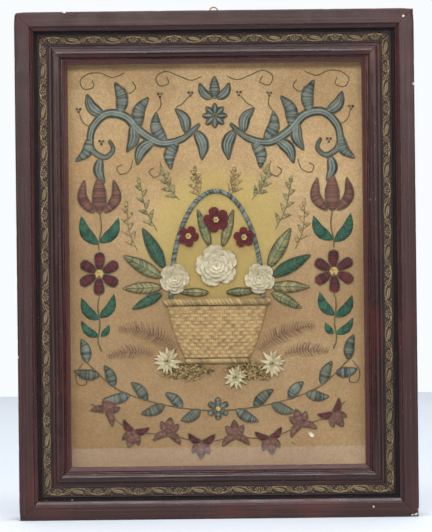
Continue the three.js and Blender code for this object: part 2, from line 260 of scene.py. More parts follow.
class Surface:
    """Collects closed tubes and slabs, as whole arrays, and makes one mesh of them."""

    def __init__(self) -> None:
        """Starts empty."""
        self.points: list[Array] = []
        self.values: dict[str, list[Array]] = {"shade": [], "relief": []}
        self.faces: list[tuple[Array, Array]] = []
        self.count = 0

    def add(
        self,
        rings: Array,
        uv: Array | None = None,
        shade: Array | float = 0.5,
        relief: Array | float = 1.0,
        loop: bool = False,
    ) -> Surface:
        """Adds closed tubes: ring i, a closed line of n points, is joined to ring i + 1 by n quads.

        Each end is closed by one flat face, or the last ring is joined to the first. A tube whose volume
        comes out below zero is turned round, so its faces point outwards.

        Args:
            rings: (m, n, 3) for one tube, or (k, m, n, 3) for k of them.
            uv: (m, n + 1, 2) or (k, m, n + 1, 2), in millimetres. The last column closes the seam.
            shade: how light each point's thread or petal is, from 0 to 1.
            relief: how high each point stands, from 0 to 1. Some pieces lower it under petals and stalks,
                where the plant finishes paint shade from it.
            loop: True if the last ring joins the first.

        Returns:
            This surface.
        """
        rings = np.asarray(rings, float)
        rings = rings[None] if rings.ndim == 3 else rings
        k, m, n, _ = rings.shape
        if uv is None:
            uv = np.stack(np.broadcast_arrays(np.arange(m)[:, None] * 1.0, np.arange(n + 1)[None] / n), -1)
        uv = np.broadcast_to(uv, (k, m, n + 1, 2)).copy()
        values = {"shade": shade, "relief": relief}
        values = {name: np.broadcast_to(value, (k, m, n)).copy() for name, value in values.items()}

        turned = self._volume(rings, loop) < 0
        rings = rings.copy()
        rings[turned] = np.roll(rings[turned][:, :, ::-1], 1, axis=2)
        uv[turned] = uv[turned][:, :, ::-1]
        for name, value in values.items():
            value[turned] = np.roll(value[turned][:, :, ::-1], 1, axis=2)
            self.values[name].append(value.ravel())

        index = np.arange(k * m * n).reshape(k, m, n) + self.count
        following = np.roll(index, -1, axis=2)
        rows = np.arange(m) if loop else np.arange(m - 1)
        after = (rows + 1) % m
        quads = np.stack([index[:, rows], following[:, rows], following[:, after], index[:, after]], -1)
        left, right = uv[:, :, :-1], uv[:, :, 1:]
        corners = np.stack([left[:, rows], right[:, rows], right[:, after], left[:, after]], -2)
        self.faces.append((quads.reshape(-1, 4), corners.reshape(-1, 4, 2)))
        if not loop:
            self.faces.append((index[:, -1], left[:, -1]))
            self.faces.append((index[:, 0, ::-1], left[:, 0, ::-1]))
        self.points.append(rings.reshape(-1, 3))
        self.count += k * m * n
        return self

    @staticmethod
    def _volume(rings: Array, loop: bool) -> Array:
        """Signed volume of each tube: a third of the sum of each face's middle dotted with its area.

        Args:
            rings: (k, m, n, 3) for k tubes.
            loop: True if the last ring joins the first.

        Returns:
            k volumes, below zero where a tube's faces point inwards.
        """
        middle = rings.mean(axis=(1, 2), keepdims=True)
        after = np.roll(rings, -1, axis=1) if loop else rings[:, 1:]
        here = rings if loop else rings[:, :-1]
        a, b, c, d = here, np.roll(here, -1, axis=2), np.roll(after, -1, axis=2), after
        area = np.cross(c - a, d - b) / 2
        volume = (((a + b + c + d) / 4 - middle) * area).sum(axis=(1, 2, 3))
        if not loop:
            for at, sign in ((-1, 1.0), (0, -1.0)):
                ring = rings[:, at] - middle[:, 0]
                cap = np.cross(ring, np.roll(ring, -1, axis=1)).sum(1) / 2
                volume = volume + sign * (ring.mean(1) * cap).sum(1)
        return volume / 3

    def piece(self, name: str, finish: Finish, slot: str, *stands_for: str) -> Object:
        """Makes the mesh's object, gives it its finish and hides the nodes that it stands for.

        Args:
            name: the piece's name.
            finish: what it is made of.
            slot: not used.
            stands_for: CAD nodes that it replaces.

        Returns:
            The new object, which sits at the origin and rides on the part's body.
        """
        mesh = bpy.data.meshes.new(name)
        points = np.concatenate(self.points)
        corners = np.concatenate([faces.ravel() for faces, _ in self.faces])
        sizes = np.concatenate([np.full(len(faces), faces.shape[1]) for faces, _ in self.faces])
        starts = np.concatenate([[0], np.cumsum(sizes)[:-1]])
        mesh.vertices.add(len(points))
        mesh.vertices.foreach_set("co", points.astype(np.float32).ravel())
        mesh.loops.add(len(corners))
        mesh.loops.foreach_set("vertex_index", corners.astype(np.int32))
        mesh.polygons.add(len(sizes))
        mesh.polygons.foreach_set("loop_start", starts.astype(np.int32))
        mesh.update(calc_edges=True)
        layer = mesh.uv_layers.new(name="face_mm")
        places = np.concatenate([uv.reshape(-1, 2) for _, uv in self.faces])
        layer.data.foreach_set("uv", places.astype(np.float32).ravel())
        for key, parts in self.values.items():
            attribute = mesh.attributes.new(key, "FLOAT", "POINT")
            attribute.data.foreach_set("value", np.concatenate(parts).astype(np.float32))
        mesh.polygons.foreach_set("use_smooth", np.ones(len(sizes), bool))
        mesh.set_sharp_from_angle(angle=math.radians(SHARP_DEGREES))
        mesh.materials.append(material_of(finish))
        made = linked(name, mesh)
        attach(made, BODY)
        if stands_for:
            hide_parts(*stands_for)
        LOG.info("%s: %d triangles", name, int((sizes - 2).sum()))
        return made


def linked(name: str, data: bpy.types.ID) -> Object:
    """Puts a new object into the scene.

    Args:
        name: the object's name.
        data: its mesh, camera or light.

    Returns:
        The object.
    """
    made = bpy.data.objects.new(name, data)
    bpy.context.scene.collection.objects.link(made)
    return made


def slab(top: Array, under: Array) -> Array:
    """Rings of a closed plate: each ring runs along the top line and back along the line under it.

    Args:
        top: (..., n, 3) the upper surface.
        under: (..., n2, 3) the lower surface, in the same order across.

    Returns:
        (..., n + n2, 3) closed rings.
    """
    return np.concatenate([top, under[..., ::-1, :]], axis=-2)


def slab_map(along: Array, across: Array) -> Array:
    """A map in millimetres for a slab whose foot is two points: the edges' values go on round the foot."""
    both = np.stack(np.broadcast_arrays(along, across), -1)
    return np.concatenate([both, both[:, [-1, 0]], both[:, :1]], 1)


def with_foot(values: Array) -> Array:
    """The values of a slab's top, with 0 for the two points of its foot."""
    return np.concatenate([values, np.zeros((len(values), 2))], 1)


# Shading


def srgb(red: float, green: float, blue: float) -> Colour:
    """A screen colour from 0 to 255 as linear light, by the sRGB standard's curve."""
    shares = (red / 255, green / 255, blue / 255)
    return tuple(v / 12.92 if v <= 0.04045 else ((v + 0.055) / 1.055) ** 2.4 for v in shares)


class Recipe:
    """Short calls that add shader nodes to one material, or to the world."""

    def __init__(self, name: str, world: bpy.types.World | None = None) -> None:
        """Starts an empty material, or empties the world's nodes.

        Args:
            name: the material's name.
            world: the world, if the recipe is for it.
        """
        self.material = world or bpy.data.materials.new(name)
        self.material.use_nodes = True
        self.tree = self.material.node_tree
        self.tree.nodes.clear()

    def put(self, socket: NodeSocket, value: object) -> None:
        """Links a socket to a socket, or sets a number or colour on it.

        Args:
            socket: what it goes into.
            value: a socket, a number or a colour.
        """
        if isinstance(value, NodeSocket):
            self.tree.links.new(value, socket)
        elif isinstance(value, tuple) and len(value) == 3 and len(socket.default_value) == 4:
            socket.default_value = (*value, 1)
        else:
            socket.default_value = value

    def node(self, kind: str, inputs: dict | None = None, **settings: object) -> bpy.types.Node:
        """Adds a node, sets its options and fills its inputs.

        Args:
            kind: the node's type, without the ShaderNode before it.
            inputs: input names or numbers, and what goes into them.
            settings: the node's own options.

        Returns:
            The new node.
        """
        made = self.tree.nodes.new("ShaderNode" + kind)
        for key, value in settings.items():
            setattr(made, key, value)
        for key, value in (inputs or {}).items():
            self.put(made.inputs[key], value)
        return made

    def maths(self, operation: str, *values: object) -> NodeSocket:
        """One sum of a Math node."""
        return self.node("Math", dict(enumerate(values)), operation=operation).outputs[0]

    def times(self, first: object, second: object) -> NodeSocket:
        """The product of two values."""
        return self.maths("MULTIPLY", first, second)

    def plus(self, first: object, second: object) -> NodeSocket:
        """The sum of two values."""
        return self.maths("ADD", first, second)

    def mix(self, share: object, first: object, second: object) -> NodeSocket:
        """A colour between two, by share. Each is a socket or a screen colour."""
        first, second = (srgb(*tone) if isinstance(tone, tuple) else tone for tone in (first, second))
        return self.node("Mix", {0: share, 6: first, 7: second}, data_type="RGBA").outputs[2]

    def spread(
        self, value: object, low: float, high: float, to_low: float = 0, to_high: float = 1
    ) -> NodeSocket:
        """A soft step from to_low at low to to_high at high."""
        inputs = {"Value": value, "From Min": low, "From Max": high, "To Min": to_low, "To Max": to_high}
        return self.node("MapRange", inputs, interpolation_type="SMOOTHSTEP").outputs[0]

    def near(self, value: object, middle: float, reach: float) -> NodeSocket:
        """1 where value is at middle, and 0 beyond reach of it."""
        away = self.maths("ABSOLUTE", self.maths("SUBTRACT", value, middle))
        return self.spread(away, 0.0, reach, 1, 0)

    def near_any(self, value: object, spots: Line) -> NodeSocket:
        """The greatest of near over several middles, each with its reach."""
        return self.highest([self.near(value, *spot) for spot in spots])

    def highest(self, values: list[NodeSocket]) -> NodeSocket:
        """The greatest of several values."""
        return reduce(lambda first, second: self.maths("MAXIMUM", first, second), values)

    def band(self, value: object, edges: Row) -> NodeSocket:
        """1 between the middle two of four edges, with a soft step to 0 at either side."""
        return self.times(self.spread(value, *edges[:2]), self.spread(value, *edges[2:], 1, 0))

    def place(self) -> NodeSocket:
        """The point on the object, in metres."""
        return self.node("TexCoord").outputs["Object"]

    def across(self) -> NodeSocket:
        """The point on the piece's own map, in millimetres."""
        return self.node("UVMap", uv_map="face_mm").outputs[0]

    def scaled(self, vector: NodeSocket, by: Colour) -> NodeSocket:
        """The vector with each part made larger."""
        return self.node("Mapping", {"Vector": vector, "Scale": by}).outputs[0]

    def parts(self, vector: NodeSocket) -> tuple[NodeSocket, NodeSocket, NodeSocket]:
        """The vector's three parts."""
        made = self.node("SeparateXYZ", {0: vector})
        return made.outputs[0], made.outputs[1], made.outputs[2]

    def noise(self, vector: NodeSocket, scale: float, detail: float = 3, rough: float = 0.55) -> NodeSocket:
        """Noise from 0 to 1."""
        inputs = {"Vector": vector, "Scale": scale, "Detail": detail, "Roughness": rough}
        return self.node("TexNoise", inputs).outputs[0]

    def value(self, name: str) -> NodeSocket:
        """A value that the mesh carries at its points."""
        return self.node("Attribute", attribute_name=name).outputs["Fac"]

    def bump(self, height: NodeSocket, deep: float) -> NodeSocket:
        """A bump whose full height is deep metres."""
        return self.node("Bump", {"Height": height, "Distance": deep, "Strength": 1.0}).outputs[0]

    def finish(self, colour: object, **inputs: object) -> Material:
        """Ends the recipe with a Principled shader.

        Args:
            colour: the base colour.
            inputs: other sockets by name, with a _ for each space.

        Returns:
            The finished material.
        """
        named = {key.replace("_", " "): value for key, value in inputs.items()}
        shader = self.node("BsdfPrincipled", {"Base Color": colour, **named})
        return self.output(shader.outputs[0])

    def output(self, shader: NodeSocket) -> Material:
        """Links a shader to the material's surface and returns the material."""
        self.node("OutputMaterial", {"Surface": shader})
        return self.material


class Finish:
    """What a surface is made of."""

    def material(self) -> Material:
        """The finish as nodes."""
        raise NotImplementedError


@cache
def material_of(finish: Finish) -> Material:
    """The finish's material, made on its first use."""
    return finish.material()


@dataclass(frozen=True)
class StainedWood(Finish):
    """Dark red-brown stain over softwood, darker in the hollows and worn at the edges.

    Its bands lie so many millimetres inward of the rail's edge. A row of four holds the two soft steps of a
    band, and a row of two holds one step, or a middle and its reach. A nick is a place and its reach.
    """

    rim: Colour = (50, 18, 16)
    hollow: Colour = (24, 17, 18)
    inner: Colour = (47, 25, 24)
    slope: Colour = (72, 35, 31)
    red: Colour = (92, 38, 35)
    dusty: Colour = (92, 66, 63)
    bare: Colour = (205, 195, 185)
    rubbed: Colour = (128, 104, 96)
    cove: Row = (20.6, 21.2, 24.4, 26.0)
    bed: Row = (24.5, 26.0, 36.0, 37.4)
    foot: Row = (20.9, 21.4, 24.4, 25.2)
    inner_from: Point = (36.0, 38.0)
    slope_from: Point = (49.8, 50.6)
    edges: Line = ((0.6, 1.6), (16.1, 0.8), (56.2, 1.0))
    shiny: Line = ((47.5, 9.0), (19.4, 3.6))
    nicks: tuple[Row, ...] = (
        (-164.5, -23.5, 559.9, 2.1), (-219.5, -22.5, 558.4, 2.2), (219, -23.5, 476.4, 1.7),
        (-219.8, -23.5, 180.3, 1.5), (216.5, -24, 2.6, 1.7), (212.5, -24.3, 2, 1.3),
        (219.2, -23.5, 8, 1.2), (208.5, -24.5, 551.2, 1.4), (182.2, -17, 517, 1.2),
        (-190.9, -14, 20, 1.5), (-162.2, -14, 20.9, 1.3), (170.7, -14, 349.5, 0.8),
        (169.6, -13, 266.8, 0.8), (154.5, -7.2, 58.4, 1), (170, -24.5, 11.7, 1),
        (200.5, -14, 35.5, 1.1),
    )

    def material(self) -> Material:
        """The finish as nodes: bands across the section, lines of grain along it, and worn edges."""
        r = Recipe("stained_wood")
        along_across = r.across()
        _, inward, _ = r.parts(along_across)
        place = r.place()
        grain = r.noise(r.scaled(along_across, (0.012, 1.25, 1)), 1.0, 4, 0.65)
        lines = r.noise(r.scaled(along_across, (0.004, 0.62, 1)), 1.0, 4, 0.68)
        broad = r.noise(place, 13.0, 4)
        colour = r.mix(r.spread(inward, *self.inner_from), self.rim, self.inner)
        colour = r.mix(r.spread(inward, *self.slope_from), colour, self.slope)
        colour = r.mix(r.spread(grain, 0.38, 0.66), r.mix(0.5, colour, self.hollow), colour)
        colour = r.mix(r.spread(broad, 0.5, 0.72, 0, 0.32), colour, self.red)
        colour = r.mix(r.spread(lines, 0.48, 0.64, 0, 0.36), colour, self.dusty)
        colour = r.mix(r.band(inward, self.cove), colour, self.hollow)
        colour = r.mix(r.times(r.band(inward, self.bed), 0.5), colour, self.hollow)
        fine = r.noise(place, 420.0, 3)
        edge = r.times(r.near_any(inward, self.edges), r.spread(fine, 0.45, 0.72))
        colour = r.mix(r.times(edge, 0.35), colour, self.rubbed)
        speck = r.spread(r.noise(place, 900.0, 1), 0.745, 0.775)
        colour = r.mix(r.times(speck, 0.5), colour, self.bare)
        colour = r.mix(self._chipped(r, place), colour, self.bare)
        height = r.plus(r.plus(r.times(grain, 0.7), r.times(fine, 0.3)), r.times(lines, 0.5))
        rough = r.spread(r.noise(place, 60.0, 3), 0.3, 0.7, 0.42, 0.54)
        rough = r.maths("SUBTRACT", rough, r.times(r.near_any(inward, self.shiny), 0.34))
        rough = r.plus(rough, r.times(r.band(inward, self.foot), 0.45))
        return r.finish(colour, Roughness=rough, Normal=r.bump(height, 0.00022), Specular_IOR_Level=0.34)

    def _chipped(self, r: Recipe, place: NodeSocket) -> NodeSocket:
        """1 inside any nick: its distance, made uneven by noise, is less than its reach.

        Args:
            r: the recipe.
            place: the point on the object.

        Returns:
            The share of bare ground.
        """
        uneven = r.times(r.noise(place, 900.0, 4, 0.7), 0.004)
        worn = []
        for nick in self.nicks:
            x, y, z, reach = (value * MM for value in nick)
            away = r.node("VectorMath", {0: place, 1: (x, y, z)}, operation="DISTANCE").outputs["Value"]
            worn.append(r.spread(r.plus(away, uneven), 0.75 * reach + 0.0019, reach + 0.002, 1, 0))
        return r.highest(worn)


@dataclass(frozen=True)
class AgedBronze(Finish):
    """Bronze paint on pressed composition, dark in the ground, and lighter gold on what stands highest:
    partly wear and partly a painted highlight.
    """

    high: Colour = (139, 121, 87)
    low: Colour = (86, 70, 52)
    ground: Colour = (46, 35, 32)

    def material(self) -> Material:
        """The finish as nodes, by how high each point stands."""
        r = Recipe("aged_bronze")
        place = r.place()
        relief = r.value("relief")
        grime = r.noise(place, 330.0, 4)
        broad = r.noise(place, 11.0, 2)
        raised = r.spread(r.plus(relief, r.times(grime, 0.25)), 0.22, 0.42)
        # Painted highlight, with wear: the highest relief takes the light gold.
        wear_and_highlight = r.spread(r.plus(relief, r.times(broad, 0.5)), 0.75, 1.35)
        colour = r.mix(raised, self.ground, r.mix(wear_and_highlight, self.low, self.high))
        rough = r.plus(r.spread(grime, 0.2, 0.8, 0.34, 0.6), r.spread(raised, 0.0, 0.8, 0.38, 0))
        bump = r.bump(grime, 0.0002)
        return r.finish(colour, Metallic=r.times(raised, 0.35), Roughness=rough, Normal=bump)


@dataclass(frozen=True)
class Pane(Finish):
    """Thin clear glass. Each of its faces mirrors more the flatter it is seen."""

    straight: float = 0.04

    def material(self) -> Material:
        """Clear mixed with a mirror by Schlick's share: straight + (1 - straight) facing^5."""
        r = Recipe("pane_glass")
        clear = r.node("BsdfTransparent", {"Color": (0.975, 0.985, 0.98)})
        shine = r.node("BsdfGlossy", {"Color": (1.0, 1.0, 1.0), "Roughness": 0.02})
        facing = r.node("LayerWeight", {"Blend": 0.5}).outputs["Facing"]
        share = r.maths("MULTIPLY_ADD", r.maths("POWER", facing, 5.0), 1 - self.straight, self.straight)
        return r.output(r.node("MixShader", {0: share, 1: clear.outputs[0], 2: shine.outputs[0]}).outputs[0])


@dataclass(frozen=True)
class EvenWeave(Finish):
    """Browned linen: fine weave, slow stains, painted shade that darkens it towards the bottom and the left,
    and a pale yellow wash behind the flowers.

    Its thread is a pitch in millimetres. Its halo is the wash's middle and half sizes in metres.
    """

    light: Colour = (218, 184, 138)
    dark: Colour = (195, 159, 113)
    stain: Colour = (160, 122, 88)
    brown: Colour = (116, 79, 43)
    soot: Colour = (102, 70, 42)
    wash: Colour = (206, 184, 98)
    pink: Colour = (196, 156, 114)
    thread: float = 0.75
    halo: Row = (0.0, 0.31, 0.098, 0.092)

    def material(self) -> Material:
        """The finish as nodes: the weave is two sine waves across the piece's own map."""
        r = Recipe("even_weave")
        u, v, _ = r.parts(r.across())
        place = r.place()
        broad = r.noise(place, 7.0, 4, 0.6)
        middle = r.noise(place, 38.0, 4, 0.6)
        fine = r.noise(place, 900.0, 2)
        colour = r.mix(r.spread(broad, 0.35, 0.65), self.dark, self.light)
        east, _, up = r.parts(place)
        # Painted shade: the brown darkens the lower cloth, and less of it towards the right.
        low = r.spread(r.plus(up, r.times(broad, 0.1)), 0.32, 0.45, 0.44, 0.0)
        colour = r.mix(r.times(low, r.spread(east, 0.02, 0.17, 1, 0.6)), colour, self.brown)
        colour = r.mix(r.spread(middle, 0.52, 0.74, 0, 0.35), colour, self.stain)
        pink = r.spread(r.noise(r.scaled(place, (1.0, 1.0, 1.6)), 17.0, 3), 0.48, 0.7, 0, 0.3)
        colour = r.mix(pink, colour, self.pink)
        speckle = r.spread(r.noise(place, 430.0, 2, 0.8), 0.4, 0.62, 0.26, 0)
        colour = r.mix(speckle, colour, self.soot)
        colour = r.mix(self._halo(r, place), colour, self.wash)
        warp, weft = (r.maths("SINE", r.times(way, 2 * math.pi / self.thread)) for way in (u, v))
        weave = r.times(warp, weft)
        slub = r.noise(r.scaled(r.across(), (0.05, 1.6, 1)), 1.0, 3)
        dots = r.plus(r.times(weave, 0.5), r.times(fine, 0.6))
        colour = r.mix(r.spread(dots, -0.3, 0.9, 0.2, 0), colour, self.stain)
        bump = r.bump(r.plus(r.times(weave, 0.35), r.plus(fine, slub)), 0.00022)
        return r.finish(colour, Roughness=0.92, Normal=bump, Sheen_Weight=0.15, Sheen_Roughness=0.5)

    def _halo(self, r: Recipe, place: NodeSocket) -> NodeSocket:
        """How far the wash covers a point: an oval that fades outwards, uneven at its edge.

        Args:
            r: the recipe.
            place: the point on the object.

        Returns:
            The share of the wash.
        """
        x, _, z = r.parts(place)
        middle_x, middle_z, half_width, half_height = self.halo
        across = r.maths("DIVIDE", r.maths("SUBTRACT", x, middle_x), half_width)
        up = r.maths("DIVIDE", r.maths("SUBTRACT", z, middle_z), half_height)
        away = r.maths("SQRT", r.plus(r.maths("POWER", across, 2.0), r.maths("POWER", up, 2.0)))
        uneven = r.times(r.noise(place, 26.0, 4), 0.5)
        return r.spread(r.plus(away, uneven), 0.85, 1.25, 0.5, 0)


@dataclass(frozen=True)
class Thread(Finish):
    """Silk or wool thread: each strand has its own tone. A cord's twist is in turns for each millimetre."""

    name: str
    dark: Colour
    light: Colour
    rough: float = 0.55
    twist: float = 0.0

    def material(self) -> Material:
        """The finish as nodes: a tone for each strand from the mesh's shade value, which also carries painted
        shade and highlight, faded in places, with fine fibre.
        """
        r = Recipe(self.name)
        u, v, _ = r.parts(r.across())
        place = r.place()
        worn = r.noise(place, 55.0, 4, 0.6)
        fibre = r.noise(place, 1900.0, 3)
        tone = r.plus(r.times(r.value("shade"), 0.8), r.times(worn, 0.3))
        colour = r.mix(r.spread(tone, 0.12, 0.82), self.dark, self.light)
        height: NodeSocket = fibre
        if self.twist:
            ply = r.maths("SINE", r.times(r.plus(r.times(u, self.twist), v), 4 * math.pi))
            # Painted shade in the grooves between the cord's plies.
            colour = r.mix(r.spread(ply, -1.0, 0.2, 0.45, 0), colour, self.dark)
            height = r.plus(fibre, ply)
        bump = r.bump(height, 0.00012)
        return r.finish(colour, Roughness=self.rough, Normal=bump, Sheen_Weight=0.25, Sheen_Roughness=0.4)


@dataclass(frozen=True)
class DriedPlant(Finish):
    """Dried or pressed plant, paper or pile: matt, mottled, and painted with shade that darkens it where its
    relief is low.

    Its grain is how fine the bump is, deep is the bump's height in metres, sheen is how much pile it has and
    varied is how unlike in tone its pieces are.
    """

    name: str
    dark: Colour
    light: Colour
    grain: float = 500.0
    deep: float = 0.0002
    sheen: float = 0.1
    rough: float = 0.85
    varied: float = 0.4

    def material(self) -> Material:
        """The finish as nodes: tone by petal and height, mottled by two noises."""
        r = Recipe(self.name)
        place = r.place()
        mottle = r.noise(place, 120.0, 4, 0.6)
        grain = r.noise(place, self.grain, 3)
        tone = r.plus(r.times(r.value("shade"), self.varied), r.times(mottle, 0.5))
        # Painted shade: the lower the relief, the darker the tone.
        tone = r.times(tone, r.spread(r.value("relief"), 0.0, 0.9, 0.35, 1.15))
        colour = r.mix(r.spread(tone, 0.06, 0.2 + self.varied), self.dark, self.light)
        surface = {"Roughness": self.rough, "Normal": r.bump(grain, self.deep)}
        return r.finish(colour, **surface, Sheen_Weight=self.sheen, Sheen_Roughness=0.35)


@dataclass(frozen=True)
class PlainStock(Finish):
    """Card, bare board or tarnished metal: one colour, streaked along a direction."""

    name: str
    colour: Colour
    streak: Colour
    metal: float = 0.0
    rough: float = 0.8
    stretch: Colour = (1.0, 1.0, 1.0)
    scale: float = 60.0

    def material(self) -> Material:
        """The finish as nodes: streaks of noise on the object's own place."""
        r = Recipe(self.name)
        streaks = r.noise(r.scaled(r.place(), self.stretch), self.scale, 5, 0.6)
        fine = r.noise(r.place(), 800.0, 2)
        colour = r.mix(r.spread(streaks, 0.35, 0.68), self.colour, self.streak)
        rough = r.spread(streaks, 0.3, 0.7, self.rough - 0.08, min(1.0, self.rough + 0.08))
        bump = r.bump(r.plus(streaks, fine), 0.00015)
        return r.finish(colour, Metallic=self.metal, Roughness=rough, Normal=bump)


# The finishes that more than one piece may share

TEAL = Thread("teal_silk", (36, 45, 44), (124, 131, 119), 0.45)
SLATE = Thread("slate_silk", (40, 45, 40), (112, 115, 96), 0.5)
GREEN = Thread("green_wool", (14, 44, 36), (50, 98, 74), 0.8)
BURGUNDY = Thread("burgundy_wool", (46, 14, 20), (110, 42, 48), 0.85)
MAUVE = Thread("mauve_wool", (79, 46, 40), (138, 93, 80), 0.8)
OLIVE = Thread("olive_silk", (84, 76, 44), (160, 146, 98), 0.5)
LEAF = Thread("leaf_silk", (66, 70, 44), (144, 142, 94), 0.5)
OUTLINE = Thread("outline_cord", (62, 52, 38), (120, 104, 74), 0.75, twist=0.6)
FLOURISH = Thread("flourish_cord", (80, 66, 45), (132, 113, 77), 0.7, twist=0.6)
STEM = Thread("stem_cord", (58, 60, 38), (116, 112, 70), 0.7, twist=0.6)
KNOT = Thread("knot_silk", (132, 104, 52), (206, 178, 104), 0.6)
HEART = Thread("heart_wool", (92, 80, 50), (176, 160, 112), 0.8)
STRAW = DriedPlant("straw_weave", (104, 78, 46), (190, 156, 104), 380.0, 0.00015, 0.0, 0.6)
ROPE = Thread("rope_silk", (96, 74, 42), (188, 158, 104), 0.5)
CREAM = DriedPlant("pressed_cream", (146, 128, 98), (232, 220, 190), 260.0, 0.00012, 0.0, 0.7)
VELVET = DriedPlant("velvet_pile", (36, 7, 14), (98, 25, 33), 1500.0, 0.0003, 0.35, 0.9)
WOOL = DriedPlant("woolly_petal", (134, 116, 84), (216, 202, 166), 1300.0, 0.0003, 0.4, 0.95)
FERN = DriedPlant("dried_fern", (92, 64, 48), (154, 120, 92), 700.0, 0.0002, 0.0, 0.85)
MOSS = DriedPlant("dried_moss", (44, 32, 19), (168, 140, 92), 900.0, 0.0003, 0.0, 0.95, 1.0)
CARD = PlainStock("card_slip", (176, 156, 120), (160, 138, 102), 0.0, 0.9)
BOARD = PlainStock("bare_board", (134, 102, 66), (96, 70, 44), 0.0, 0.85, (14.0, 3.0, 1.0), 6.0)
BRASS = PlainStock("tarnished_brass", (176, 118, 66), (96, 60, 34), 0.9, 0.42, scale=500.0)


# The frame


@dataclass(frozen=True)
class RailPlace:
    """Where one rail lies: its outer edge's middle, its length and how far it is turned."""

    side: str
    length: float
    x: float
    z: float
    turn: float

    def on_face(self, along: Array, inward: Array) -> tuple[Array, Array]:
        """Turns places along and inward of the rail into x and z on the face."""
        c, s = math.cos(self.turn), math.sin(self.turn)
        return self.x + along * c - inward * s, self.z + along * s + inward * c


RAILS = (
    RailPlace("bottom", 440, 0, 0, 0),
    RailPlace("right", 560, 220, 280, math.pi / 2),
    RailPlace("top", 440, 0, 560, math.pi),
    RailPlace("left", 560, -220, 280, -math.pi / 2),
)


@dataclass
class Moulding:
    """Four mitred rails of one stepped section, drawn finer than the solids that they stand for."""

    face: Face
    depth: float = 45.0
    trim: float = 0.2
    station: float = 3.6
    facet: float = 1.15
    worn: float = 0.35

    def section(self) -> Array:
        """The section's outline, as rows of (inward, out from the back), round from the back corner."""

        def arc(
            at: float, out: float, wide: float, high: float, start: float, end: float, steps: int
        ) -> Array:
            """Part of an ellipse: (at + wide cos t, out + high sin t), for t from start to end."""
            t = np.linspace(start, end, steps)
            return np.stack([at + wide * cos(t), out + high * sin(t)], 1)

        front = self.depth
        runs = [
            np.array([[0, 0], [50.5, 0], [50.5, front - 21], [57, front - 21], [57, front - 17.4]]),
            arc(56.4, front - 17.3, 0.6, 0.6, 0, 1.0, 3),
            np.array([[53.6, front - 14.1]]),
            arc(52.8, front - 13.4, 0.8, 0.8, 0.3, 2.6, 5),
            np.array([[51.5, front - 14.2], [50.4, front - 14.0], [49.9, front - 11.4]]),
            arc(44.8, front - 10.9, 5.1, 2.8, 0.02, pi, 21),
            np.array([[39.6, front - 11.1], [37.2, front - 11.1]]),
            arc(36.2, front - 9.6, 0.7, 0.7, 0, pi, 7),
            np.array([[35.5, front - 10], [26, front - 10]]),
            arc(25.3, front - 9.6, 0.7, 0.7, 0, pi, 7),
            np.array([[24.5, front - 10.6], [21.4, front - 10.2], [21.1, front - 5.3]]),
            np.array([[20.8, front - 4.7], [16.6, front - 1.2]]),
            arc(15.7, front - 0.7, 0.7, 0.7, 0, pi / 2, 4),
            arc(2, front - 2, 2, 2, pi / 2, pi, 6),
        ]
        outline = np.vstack(runs)
        keep = np.concatenate([[True], sqrt((np.diff(outline, axis=0) ** 2).sum(1)) > 0.02])
        outline = outline[keep]
        closed = np.vstack([outline, outline[:1]])
        dense = [closed[:1]]
        for a, b in zip(closed[:-1], closed[1:]):
            hidden = max(a[1], b[1]) < 24.5 or (a[0] < 0.01 and b[0] < 0.01)
            steps = max(1, math.ceil(math.dist(a, b) / (9.0 if hidden else self.facet)))
            dense.append(a + (b - a) * (np.arange(1, steps + 1) / steps)[:, None])
        return np.vstack(dense)[:-1]

    def rail(self, rail: RailPlace) -> Surface:
        """One rail: each point of the section runs as far as the mitre lets it, and its edges are worn.

        Args:
            rail: the rail's place.

        Returns:
            The surface, with a map of millimetres along and inward.
        """
        outline = self.section()
        inward, out = outline[None, :, 0], outline[None, :, 1]
        stations = round(rail.length / self.station)
        share = np.linspace(-1, 1, stations + 1)[:, None]
        along = share * (rail.length / 2 - inward - self.trim)
        salt = rail.turn + 1.3
        edge = smooth(3.2, 0.2, inward) * smooth(40.5, 43.5, out)
        dents = smooth(0.35, 1.1, drift(along, 61, salt) + 0.5 * drift(along, 17, salt + 2))
        ends = smooth(14, 1, rail.length / 2 - np.abs(along))
        lowered = edge * (self.worn * dents + 0.9 * ends)
        pushed = edge * (0.5 * self.worn * dents + 0.7 * ends)
        lowered = lowered + 0.05 * smooth(24, 30, out) * (1 + drift(along, 140, salt))
        x, z = rail.on_face(along, inward + pushed)
        side = np.where((inward < 0.05) & (out < 43.5), out - 43.5, inward)
        side = np.where(out < 23.9, np.minimum(side, -1.0), side)
        v = np.broadcast_to(np.concatenate([side, side[:, :1]], 1), (stations + 1, outline.shape[0] + 1))
        u = np.concatenate([along, along[:, :1]], 1) + 700 * math.sin(rail.turn)
        return Surface().add(self.face.from_back(x, z, out - lowered), np.stack([u, v], -1))

    def build(self) -> None:
        """Makes the four rails."""
        for rail in RAILS:
            self.rail(rail).piece(f"moulding_{rail.side}", StainedWood(), "stained_wood", f"rail_{rail.side}")


